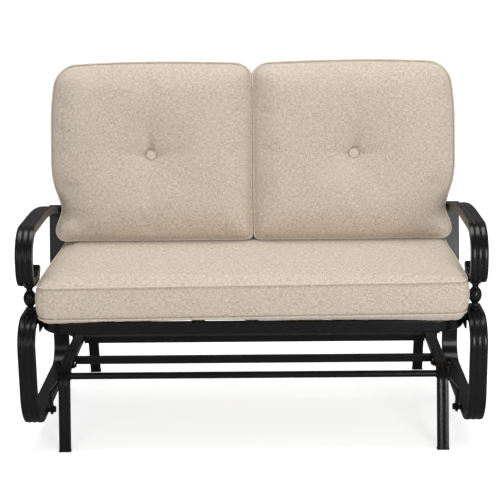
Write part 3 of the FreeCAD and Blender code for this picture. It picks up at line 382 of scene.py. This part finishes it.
for node in (
    "seat_rail",
    "seat_rear_rail",
    "seat_slats",
    "seat_bracket_left",
    "seat_bracket_right",
    "back_low_rail",
    "back_top_rail",
    "back_slats",
):
    powder_coat.coat(node)
lean = math.radians(14.5)
lean_start = (0, 0.199, 0.385)
lean_frame = Matrix.Translation(lean_start) @ Matrix.Rotation(-lean, 4, "X")
top_rail_leg = Vector((0.5435, -0.001, 0.1045))
back_rail_half_deep, back_rail_half_tall = 0.009, 0.0125
both_sides = ((1, "right"), (-1, "left"))
weld_tube_ends(
    "back_low_rail", "seat", back_rail_half_deep, back_rail_half_tall, tube_corner, lean
)
for side, side_name in both_sides:
    leg = Matrix.Translation((side * top_rail_leg.x, top_rail_leg.y, top_rail_leg.z))
    weld_bead(
        f"weld_back_top_rail_{side_name}",
        "seat",
        lean_frame @ leg,
        back_rail_half_tall,
        back_rail_half_deep,
        tube_corner,
    )

# Seat cushion: a box cushion of foam in a heathered beige cover, sewn from a top, a band round the
# side and a bottom, with a thin welt in both seams. The cover is crowned above and flat below.

yarn_light = (0.71, 0.62, 0.52)
yarn_dark = (0.40, 0.335, 0.262)
yarn_pink = (0.62, 0.515, 0.43)
slubs_along, slubs_across = 100, 520
flecks_per_metre, fleck_share = 360, 0.16
heather_range = (0.46, 0.71)
patches_per_metre, patch_range, most_tint = 14, (0.42, 0.68), 0.35
turn_range = (-0.06, 0.06)
top_pitch = 0.5
weave_turn, weave_height, weave_strength = 4200, 0.00035, 0.5


def woven(name, light, dark, tint):
    """A plain weave of flecked yarns, laid square to each panel whichever way it faces."""
    cloth = Finish(name, Roughness=0.92, Sheen_Weight=0.12, Sheen_Roughness=0.5, IOR=1.4)
    x, y, z = cloth.axes(cloth.spot())
    aside, ahead, above = (abs(way) for way in cloth.axes(cloth.spot("Normal")))
    from_top = cloth.step(above - ahead - aside, *turn_range)
    from_side = cloth.step(aside - ahead - above * 0.3, *turn_range)
    across = x * (1 - from_side) + y * from_side
    up = z * (1 - from_top) + y * from_top * top_pitch
    weft = cloth.speckle(cloth.vector(across * slubs_along, up * slubs_across), 1.0, 2.0)
    warp = cloth.speckle(cloth.vector(across * slubs_across, up * slubs_along, 7.0), 1.0, 2.0)
    flecks = cloth.vector(across * flecks_per_metre, up * flecks_per_metre, 3.0)
    patches = cloth.vector(across * patches_per_metre, up * patches_per_metre, 11.0)
    fleck = cloth.speckle(flecks, 1.0, 1.0)
    patch = cloth.speckle(patches, 1.0, 4.0)
    heather = cloth.step(weft * 0.5 + warp * 0.5 + fleck_share * fleck, *heather_range)
    yarn = cloth.blend(heather, dark, light)
    tinted = cloth.step(patch, *patch_range) * most_tint
    cloth.set("Base Color", cloth.blend(tinted, yarn, tint))
    over = cloth.node("ShaderNodeMath", {"operation": "SINE"}, {0: across * weave_turn})
    under = cloth.node("ShaderNodeMath", {"operation": "SINE"}, {0: up * weave_turn})
    cloth.bump(over * under * 0.5 + weft + warp, weave_height, weave_strength)
    return cloth


swell_power = 0.7
band_from, band_run, band_edge = 0.8, 0.15, 1e-5
welt_light = (0.72, 0.635, 0.535)
welt_dark = (0.50, 0.43, 0.35)
welt_pink = (0.65, 0.55, 0.47)
cover = woven("heathered_cover", yarn_light, yarn_dark, yarn_pink)
welt_cloth = woven("welt_cloth", welt_light, welt_dark, welt_pink)


def even_line(points, count):
    """count + 1 points at even steps along a line of points."""
    points = np.array(points, float)
    gone = np.concatenate([[0], np.cumsum(np.linalg.norm(np.diff(points, axis=0), axis=1))])
    at = np.linspace(0, gone[-1], count + 1)
    return np.stack([np.interp(at, gone, points[:, axis]) for axis in (0, 1)], 1)


def panel(low_side, right_side, high_side, left_side):
    """A grid of points that fills four edge lines, each run to the right or upward."""
    wide, tall = len(low_side), len(left_side)
    u = np.linspace(0, 1, wide)[None, :, None]
    v = np.linspace(0, 1, tall)[:, None, None]
    corners = low_side[0], low_side[-1], high_side[0], high_side[-1]
    between = (1 - v) * low_side[None] + v * high_side[None]
    between = between + (1 - u) * left_side[:, None] + u * right_side[:, None]
    low = (1 - u) * (1 - v) * corners[0] + u * (1 - v) * corners[1]
    return between - (low + (1 - u) * v * corners[2] + u * v * corners[3])


def rim_of(grid):
    """The numbers of a grid's edge points, once round."""
    tall, wide = grid.shape[:2]
    number = np.arange(tall * wide).reshape(tall, wide)
    return np.concatenate([number[0], number[1:, -1], number[-1, -2::-1], number[-2:0:-1, 0]])


def edge_distance(grid, rim):
    """How far each grid point is from the edge line."""
    flat = grid.reshape(-1, 2)
    edge = flat[rim]
    best = np.full(len(flat), 1e9)
    for first, second in zip(edge, np.roll(edge, -1, 0)):
        run = second - first
        share = np.clip(((flat - first) @ run) / max(run @ run, 1e-12), 0, 1)
        best = np.minimum(best, np.linalg.norm(flat - first - share[:, None] * run, axis=1))
    return best


def box_cushion(name, grid, face_at, back_at, rows, side_bulge, end_bulge):
    """A closed cushion: a front panel and a back panel over the same grid, and a side band between.

    face_at and back_at give the third coordinate from the grid points and their distance to the
    edge. The band swells by side_bulge where it faces along the grid's second axis, by end_bulge
    where it faces along the first.
    """
    rim = rim_of(grid)
    flat = grid.reshape(-1, 2)
    reach = edge_distance(grid, rim)
    front = np.column_stack([flat, face_at(flat, reach)])
    back = np.column_stack([flat, back_at(flat, reach)])
    edge = flat[rim]
    run = np.roll(edge, -1, 0) - np.roll(edge, 1, 0)
    way = np.column_stack([run[:, 1], -run[:, 0]])
    way /= np.linalg.norm(way, axis=1)[:, None]
    side = []
    for row in range(1, rows):
        share = row / rows
        swell = side_bulge + (end_bulge - side_bulge) * way[:, :1] ** 2
        swell = swell * math.sin(math.pi * share) ** swell_power
        height = front[rim, 2] * (1 - share) + back[rim, 2] * share
        side.append(np.column_stack([edge + way * swell, height]))
    tall, wide = grid.shape[:2]
    count = len(flat)
    faces = []
    for row in range(tall - 1):
        for column in range(wide - 1):
            first = row * wide + column
            quad = (first, first + 1, first + wide + 1, first + wide)
            faces.append(quad)
            faces.append(tuple(count + number for number in reversed(quad)))
    loops = [list(rim)]
    for row in range(rows - 1):
        loops.append([2 * count + row * len(rim) + step for step in range(len(rim))])
    loops.append([count + number for number in rim])
    for first, second in zip(loops, loops[1:]):
        for step in range(len(rim)):
            after = (step + 1) % len(rim)
            faces.append((first[after], first[step], second[step], second[after]))
    points = np.concatenate([front, back, *side])
    thing = add_mesh(name, points, faces)
    seams = np.concatenate([rim, count + rim])
    return thing, seams, np.column_stack([way, np.zeros(len(way))]), rim, count


def read_points(thing):
    return np.array([vertex.co for vertex in thing.data.vertices])


def write_points(thing, points):
    thing.data.vertices.foreach_set("co", points.astype(np.float32).ravel())
    thing.data.update()


def puff(thing, held, pressure, limit, frames=20):
    """Fills a sewn cover: the seams stay put, and no point moves further than the limit."""
    rest = read_points(thing)
    group = thing.vertex_groups.new(name="sewn")
    group.add([int(number) for number in held], 1.0, "REPLACE")
    cloth = thing.modifiers.new("cover", "CLOTH")
    settings = cloth.settings
    settings.quality = 5
    settings.mass = 0.3
    settings.tension_stiffness = 20
    settings.compression_stiffness = 20
    settings.shear_stiffness = 8
    settings.bending_stiffness = 1.5
    settings.vertex_group_mass = "sewn"
    settings.use_pressure = True
    settings.uniform_pressure_force = pressure
    settings.effector_weights.gravity = 0
    settings.shrink_min = -0.006
    cloth.collision_settings.use_collision = False
    scene = bpy.context.scene
    for number in range(1, frames + 1):
        scene.frame_set(number)
    shape = thing.evaluated_get(bpy.context.evaluated_depsgraph_get())
    moved = read_points(shape) - rest
    far = np.linalg.norm(moved, axis=1)
    moved *= np.minimum(1, limit / np.maximum(far, 1e-9))[:, None]
    thing.modifiers.remove(cloth)
    write_points(thing, rest + moved)
    scene.frame_set(1)


def refine(thing):
    """One smooth subdivision, applied."""
    modifier = thing.modifiers.new("smooth", "SUBSURF")
    modifier.levels = modifier.render_levels = 1
    shape = thing.evaluated_get(bpy.context.evaluated_depsgraph_get())
    finer = bpy.data.meshes.new_from_object(shape)
    thing.modifiers.clear()
    thing.data = finer
    thing.data.polygons.foreach_set("use_smooth", [True] * len(finer.polygons))


def draw_in(points, height, low, high, depth, wide):
    """Draws the side band in beside its two seams, where the stitches hold it tight to the welt."""
    inside = np.clip((height - low) * (high - height) / band_edge, 0, 1)
    beside = np.exp(-(((height - low - wide) / wide) ** 2))
    beside += np.exp(-(((high - height - wide) / wide) ** 2))
    for axis in (0, 1):
        most, least = points[:, axis].max(), points[:, axis].min()
        out = (points[:, axis] - (most + least) / 2) / ((most - least) / 2)
        outermost = np.clip((abs(out) - band_from) / band_run, 0, 1)
        points[:, axis] -= depth * inside * beside * np.sign(out) * outermost


def ripple(points, height, pitch, seed):
    """Smooth random values at points, from -height to height."""
    start = Vector((seed, seed * 2.3, 0))
    return height * np.array([noise.noise(Vector(point) / pitch + start) for point in points])


def sew_welt(name, line, outward, radius, place=Matrix.Identity(4)):
    """A cord in the cover's cloth, sewn in along a seam."""
    welt = cord_mesh(name, line, outward, [radius] * len(line))
    refine(welt)
    welt.matrix_world = place
    welt.data.materials.append(welt_cloth.look)
    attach(welt, "seat")


seat_half_wide = 0.5515
seat_reach = 0.5598
seat_front, seat_back = -0.315, 0.182
seat_corners = [0.034, 0.034, 0.043, 0.043]
seat_draw, seat_draw_from, seat_draw_run = 0.009, -0.165, 0.22
seat_low, seat_high = 0.3578, 0.4752
seat_seam_low, seat_seam_high = 0.375, 0.4615
seat_tilt = 0.0085
seat_rear_rise, seat_rise_from, seat_rise_run = 0.0050, 0.02, 0.14
seat_crown, seat_crown_edge, dome_power = 0.0115, 0.75, 2.6
seat_shoulder, seat_crown_run, seat_low_shoulder = 0.036, 0.24, 0.018
seat_front_bulge, seat_end_bulge = 0.0045, 0.0070
seat_groove, seat_groove_wide = 0.0038, 0.0030
seat_cell, seat_band_rows = 0.0095, 15
seat_pressure, seat_give = 3.0, 0.006
seat_pucker, seat_pucker_reach = (0.0007, 0.03, 3.0), 0.012
seat_wave, seat_sway = (0.0012, 0.14, 9.0), (0.0008, 0.045, 5.0)
seat_welt, seat_welt_lift = 0.0029, 0.35


def rounded_box_sides(low, high, corners, cell):
    """The four edge lines of a rounded rectangle. A corner is shared by two lines at its middle."""
    (x0, y0), (x1, y1) = low, high
    middles = [
        (x0 + corners[0], y0 + corners[0]),
        (x1 - corners[1], y0 + corners[1]),
        (x1 - corners[2], y1 - corners[2]),
        (x0 + corners[3], y1 - corners[3]),
    ]

    def arc(number, first, last):
        x, y = middles[number]
        return [
            (x + corners[number] * math.cos(angle), y + corners[number] * math.sin(angle))
            for angle in np.linspace(first * math.pi, last * math.pi, 7)
        ]

    wide = round((x1 - x0) / cell)
    tall = round((y1 - y0) / cell)
    low_side = even_line(arc(0, 1.25, 1.5) + arc(1, 1.5, 1.75), wide)
    right_side = even_line(arc(1, -0.25, 0.0) + arc(2, 0.0, 0.25), tall)
    high_side = even_line(arc(3, 0.75, 0.5) + arc(2, 0.5, 0.25), wide)
    left_side = even_line(arc(0, 1.25, 1.0) + arc(3, 1.0, 0.75), tall)
    return low_side, right_side, high_side, left_side


def dome(reach, rise, shoulder):
    """Height of a crowned panel: it climbs fast from the seam and levels off."""
    return rise * (1 - np.clip(1 - reach / shoulder, 0, 1) ** dome_power)


sides = rounded_box_sides(
    (-seat_half_wide, seat_front), (seat_half_wide, seat_back), seat_corners, seat_cell
)
for line in sides:
    behind = np.maximum(line[:, 1] - seat_draw_from, 0)
    drawn = 1 - np.exp(-((behind / seat_draw_run) ** 2))
    line[:, 0] *= 1 - seat_draw / seat_half_wide * drawn
grid = panel(*sides)


def seat_top(flat, reach):
    rear = np.clip((flat[:, 1] - seat_rise_from) / seat_rise_run, 0, 1)
    seam = seat_seam_high + seat_tilt * flat[:, 0] + seat_rear_rise * rear**2
    edge = dome(reach, seat_crown * seat_crown_edge, seat_shoulder)
    return seam + edge + dome(reach, seat_crown * (1 - seat_crown_edge), seat_crown_run)


def seat_bottom(flat, reach):
    seam = seat_seam_low + seat_tilt * flat[:, 0]
    return seam - dome(reach, seam - seat_low, seat_low_shoulder)


seat_cushion, seams, way, rim, count = box_cushion(
    "seat_cushion_cover",
    grid,
    seat_top,
    seat_bottom,
    seat_band_rows,
    seat_front_bulge,
    seat_end_bulge,
)
puff(seat_cushion, seams, seat_pressure, seat_give)
rings = [read_points(seat_cushion)[rim], read_points(seat_cushion)[count + rim]]
refine(seat_cushion)
points = read_points(seat_cushion)
height = points[:, 2] - seat_tilt * points[:, 0]
seam_off = np.minimum(abs(height - seat_seam_low), abs(height - seat_seam_high))
puckers = ripple(points, *seat_pucker) * np.exp(-seam_off / seat_pucker_reach)
points[:, 2] += puckers + ripple(points, *seat_wave)
points[:, 1] += ripple(points, *seat_sway)
points[:, 2] = np.clip(points[:, 2], seat_low, seat_high)
points[:, 0] = np.clip(points[:, 0], -seat_reach, seat_reach)
draw_in(points, height, seat_seam_low, seat_seam_high, seat_groove, seat_groove_wide)
write_points(seat_cushion, points)
seat_cushion.data.materials.append(cover.look)
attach(seat_cushion, "seat")
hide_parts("seat_cushion")
sewn = (("top", rings[0], seat_welt_lift), ("bottom", rings[1], -seat_welt_lift))
for label, ring, lift in sewn:
    sew_welt(f"seat_cushion_welt_{label}", ring, way + np.array([0, 0, lift]), seat_welt)

# Back cushions: two fibre-filled cushions that lean on the posts, sewn from a front, a back and a
# side band. Each is drawn in between the armrests and tied through by a covered button.

back_rest = 0.0105
back_seam, front_seam = 0.050, 0.116
back_inner, back_outer = 0.0014, 0.572
back_low, back_top = 0.4762, 0.572
back_corners = [0.022, 0.044, 0.056, 0.046]
back_cell, back_band_rows, back_band_bulge = 0.0095, 7, 0.006
back_pressure, back_give = 3.0, 0.008
front_rise = 0.044
front_edge_share, front_middle_share = 0.74, 0.18
front_shoulder, front_rise_run = 0.060, 0.2
front_belly, belly_from, belly_run = 0.005, 0.06, 0.51
rear_shoulder = 0.05
arm_reach, arm_pinch, arm_pinch_run = 0.158, 0.026, 0.062
top_draw, top_draw_from, top_draw_run = 0.017, 0.40, 0.17
top_sag, sag_middle, inner_sag_share = 0.011, 1.06, 0.6
crease_depth, crease_long, crease_angle = 0.020, 0.10, math.radians(213)
crease_start, crease_wide, crease_spread = 0.02, 0.018, 0.14
tuft_x, tuft_reach = 0.2869, 0.307
tuft_depth, tuft_run, tuft_power, tuft_hold = 0.028, 0.047, 1.15, 0.017
tuft_folds = (
    (math.radians(84), 0.0180, 0.060),
    (math.radians(2), 0.0110, 0.055),
    (math.radians(178), 0.0095, 0.055),
    (math.radians(272), 0.0016, 0.04),
)
fold_wide, fold_spread, fold_start = 0.007, 0.12, 0.012
seam_dip, seam_dip_at, seam_dip_wide = 0.0030, 0.007, 0.004
back_wave, back_sway = (0.0016, 0.11), (0.0010, 0.06)
back_pucker, back_pucker_reach = (0.0008, 0.028), 0.010
back_welt, back_welt_lift = 0.0024, 0.45
welt_over_seat, welt_past_middle = 0.0026, 0.0022
front_blend, inner_slack = 0.02, 0.0008


def low_reach(ahead):
    """Where a cushion's underside meets the seat, at a distance ahead of the posts."""
    return (back_low - lean_frame.translation.z - ahead * math.sin(lean)) / math.cos(lean)


def back_outline():
    """The edge lines of the right cushion's panels, seen from in front."""
    low = low_reach(front_seam)
    corner = (back_outer, back_top)
    shaped = []
    for line in rounded_box_sides((back_inner, low), corner, back_corners, back_cell):
        x, t = line[:, 0], line[:, 1]
        out = np.clip((x - back_inner) / (back_outer - back_inner), 0, 1)
        upper = np.clip((t - top_draw_from) / top_draw_run, 0, 1)
        high = np.clip((t - low) / (back_top - low), 0, 1)
        draw = arm_pinch * np.exp(-(((t - arm_reach) / arm_pinch_run) ** 2)) + top_draw * upper**2
        share = np.where(out > 0.5, 1.0, inner_sag_share)
        sag = top_sag * high**3 * (2 * out - sag_middle) ** 2 * share
        shaped.append(np.column_stack([x - draw * out**3, t - sag]))
    return shaped


def turned(flat, x, reach, angle):
    """How far points lie along and aside of a line that leaves a place at an angle."""
    dx, dt = flat[:, 0] - x, flat[:, 1] - reach
    cos, sin = math.cos(angle), math.sin(angle)
    return dx * cos + dt * sin, -dx * sin + dt * cos


def button_sink(flat):
    """How deep the button draws the front in, in a dimple that fades outward."""
    far = np.hypot(flat[:, 0] - tuft_x, flat[:, 1] - tuft_reach)
    return tuft_depth * np.exp(-((far / tuft_run) ** tuft_power))


def folds(flat):
    """The narrow creases that run from the button: a strong one up, softer ones aside and down."""
    total = np.zeros(len(flat))
    for angle, depth, length in tuft_folds:
        along, aside = turned(flat, tuft_x, tuft_reach, angle)
        wide = fold_wide + fold_spread * np.maximum(along, 0)
        across = np.exp(-((aside / wide) ** 2))
        start = np.clip(along / fold_start, 0, 1)
        total += depth * (along > 0) * np.exp(-along / length) * across * start
    return total


def arm_crease(flat):
    """The fold that the armrest presses into the front, running in and down from it."""
    along, aside = turned(flat, back_outer - crease_start, arm_reach, crease_angle)
    ahead = np.maximum(along, 0)
    across = np.exp(-((aside / (crease_wide + crease_spread * ahead)) ** 2))
    return crease_depth * np.exp(-((ahead / crease_long) ** 2)) * across


def back_face(flat, reach):
    share = np.clip((flat[:, 1] - belly_from) / belly_run, 0, 1)
    return (
        front_seam
        + dome(reach, front_rise * front_edge_share, front_shoulder)
        + dome(reach, front_rise * front_middle_share, front_rise_run)
        + front_belly * np.sin(math.pi * share)
        - button_sink(flat)
        - arm_crease(flat)
    )


def back_rear(flat, reach):
    return back_seam - dome(reach, back_seam - back_rest, rear_shoulder)


for side, side_name in both_sides:
    grid = panel(*back_outline())
    cushion, seams, way, rim, count = box_cushion(
        f"back_cushion_cover_{side_name}",
        grid,
        back_face,
        back_rear,
        back_band_rows,
        back_band_bulge,
        back_band_bulge,
    )
    points = read_points(cushion)
    tuft = np.hypot(points[:, 0] - tuft_x, points[:, 1] - tuft_reach) < tuft_hold
    held = np.concatenate([seams, np.flatnonzero(tuft[:count])])
    puff(cushion, held, back_pressure, back_give)
    points = read_points(cushion)
    rings = [points[rim], points[count + rim]]
    refine(cushion)
    points = read_points(cushion)
    facing = np.clip((points[:, 2] - front_seam) / front_blend, 0, 1)
    seam_off = np.minimum(abs(points[:, 2] - back_seam), abs(points[:, 2] - front_seam))
    seam_near = np.exp(-seam_off / back_pucker_reach)
    points[:, 2] -= facing * folds(points)
    beyond = points[:, 2] - front_seam - seam_dip_at
    points[:, 2] -= seam_dip * np.exp(-((beyond / seam_dip_wide) ** 2))
    points[:, 2] += ripple(points, *back_wave, 4.0 + side) * facing
    points[:, 2] += ripple(points, *back_pucker, 6.0 + side) * seam_near
    points[:, 0] += ripple(points, *back_sway, 8.0 + side) * (1 - facing)
    points[:, 2] = np.maximum(points[:, 2], back_rest)
    points[:, 0] = np.maximum(points[:, 0], back_inner - inner_slack)
    points[:, 1] = np.maximum(points[:, 1], low_reach(points[:, 2]))

    def placed(these):
        """From across, up and ahead to the leaning frame's own axes, mirrored on the left."""
        return np.column_stack([side * these[:, 0], -these[:, 2], these[:, 1]])

    write_points(cushion, placed(points))
    if side == 1:
        cushion.data.flip_normals()
    cushion.matrix_world = lean_frame
    cushion.data.materials.append(cover.look)
    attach(cushion, "seat")
    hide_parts(f"back_cushion_{side_name}")
    sewn = (("front", rings[0], back_welt_lift), ("back", rings[1], -back_welt_lift))
    for label, ring, lift in sewn:
        ring[:, 1] = np.maximum(ring[:, 1], low_reach(ring[:, 2]) + welt_over_seat)
        ring[:, 0] = np.maximum(ring[:, 0], back_inner + welt_past_middle)
        outward = way + np.array([0, 0, lift])
        line = placed(ring + outward * back_welt / 3)
        name = f"back_cushion_welt_{label}_{side_name}"
        sew_welt(name, line, placed(outward), back_welt, lean_frame)

# Covered buttons: a disc of the same cloth pulled over a dome, with a rolled edge. Each one is
# drawn down tight into the tuft of its cushion.

button_profile = (
    (0.0, 0.0042),
    (0.0045, 0.0041),
    (0.0080, 0.0036),
    (0.0098, 0.0028),
    (0.0106, 0.0029),
    (0.0116, 0.0040),
    (0.0128, 0.0038),
    (0.0138, 0.0022),
    (0.0142, 0.0002),
    (0.0138, -0.0020),
    (0.0110, -0.0034),
    (0.0, -0.0036),
)
around = 40
button_lift = 0.0050
front_height = front_rise * (front_edge_share + front_middle_share) + front_belly
button_ahead = front_seam + front_height - tuft_depth + button_lift
for side, side_name in both_sides:
    points = []
    for radius, ahead in button_profile[1:-1]:
        for step in range(around):
            angle = 2 * math.pi * step / around
            points.append((
                side * tuft_x + radius * math.cos(angle),
                -(button_ahead + ahead),
                tuft_reach + radius * math.sin(angle),
            ))
    rows = len(button_profile) - 2
    faces = ring_faces(rows, around, False)
    for _, ahead in (button_profile[0], button_profile[-1]):
        points.append((side * tuft_x, -(button_ahead + ahead), tuft_reach))
    front_middle, rear_middle = rows * around, rows * around + 1
    for step in range(around):
        after = (step + 1) % around
        faces.append((step, front_middle, after))
        faces.append(((rows - 1) * around + after, rear_middle, (rows - 1) * around + step))
    button = add_mesh(f"covered_button_{side_name}", points, faces)
    refine(button)
    button.matrix_world = lean_frame
    button.data.materials.append(welt_cloth.look)
    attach(button, "seat")
    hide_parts("back_buttons")

# Studio: a plain pale floor that runs to the horizon, a white surround, and soft lamps. The floor
# looks white from the camera and keeps the shadow; in the black coat it is mirrored much darker.

floor_half = 60
floor_grey, floor_mirrored, floor_glow = (0.74,) * 3, (0.20,) * 3, (0.62,) * 3
ground = Finish("studio_floor", Roughness=0.9, Emission_Strength=1.0)
seen = ground.node("ShaderNodeLightPath", {}, {}, "Is Camera Ray")
mirrored = ground.node("ShaderNodeLightPath", {}, {}, "Is Glossy Ray")
ground.set("Base Color", ground.blend(mirrored, floor_grey, floor_mirrored))
ground.set("Emission Color", ground.blend(seen, (0, 0, 0), floor_glow))
corners = [(floor_half * x, floor_half * y, 0) for x, y in ((-1, -1), (1, -1), (1, 1), (-1, 1))]
floor = add_mesh("studio_floor", corners, [(0, 1, 2, 3)])
floor.data.materials.append(ground.look)

surround = Finish("studio_surround", "worlds", "Background", Color=(1, 1, 1))
seen = surround.node("ShaderNodeLightPath", {}, {}, "Is Camera Ray")
mirrored = surround.node("ShaderNodeLightPath", {}, {}, "Is Glossy Ray")
ahead = surround.axes(surround.spot("Generated"))[1]
sky_light, sky_turn = 0.56, 1.2
sky_mirrored, sky_mirrored_behind = 0.07, 0.06
clamped = {"operation": "MULTIPLY", "use_clamp": True}
behind = surround.node("ShaderNodeMath", clamped, {0: ahead, 1: sky_turn})
in_coat = mirrored * (behind * sky_mirrored_behind + sky_mirrored)
surround.set("Strength", seen + in_coat + (1 - seen - mirrored) * sky_light)
bpy.context.scene.world = surround.look


def lamp(name, place, aim, wide, tall, power):
    """A soft rectangular lamp that faces a point."""
    light = bpy.data.lights.new(name, "AREA")
    light.shape = "RECTANGLE"
    light.size, light.size_y = wide, tall
    light.energy = power
    thing = bpy.data.objects.new(name, light)
    thing.location = place
    thing.rotation_mode = "QUATERNION"
    thing.rotation_quaternion = (Vector(aim) - Vector(place)).to_track_quat("-Z", "Y")
    bpy.context.scene.collection.objects.link(thing)


lamp("lamp_above", (0.0, 0.35, 5.2), (0, 0, 0.4), 3.6, 2.8, 150)
lamp("lamp_left", (-1.5, -3.2, 1.5), (0, 0, 0.5), 1.6, 1.6, 10)
lamp("lamp_front", (1.45, -3.3, 1.0), (0, 0, 0.5), 0.9, 1.4, 38)
lamp("lamp_right", (3.2, -1.0, 1.4), (0, 0, 0.5), 0.8, 2.4, 10)

camera_place = (0.0567, -3.4884, 1.3697)
camera_turn, camera_down, camera_roll = 0.0185, math.radians(14.421), -0.0138
camera_data = bpy.data.cameras.new("camera")
camera_data.lens = 93.6
camera_data.sensor_width = 36
camera = bpy.data.objects.new("camera", camera_data)
camera.matrix_world = (
    Matrix.Translation(camera_place)
    @ Matrix.Rotation(camera_turn, 4, "Z")
    @ Matrix.Rotation(math.pi / 2 - camera_down, 4, "X")
    @ Matrix.Rotation(camera_roll, 4, "Z")
)
bpy.context.scene.collection.objects.link(camera)
bpy.context.scene.camera = camera
bpy.context.scene.view_settings.view_transform = "Standard"
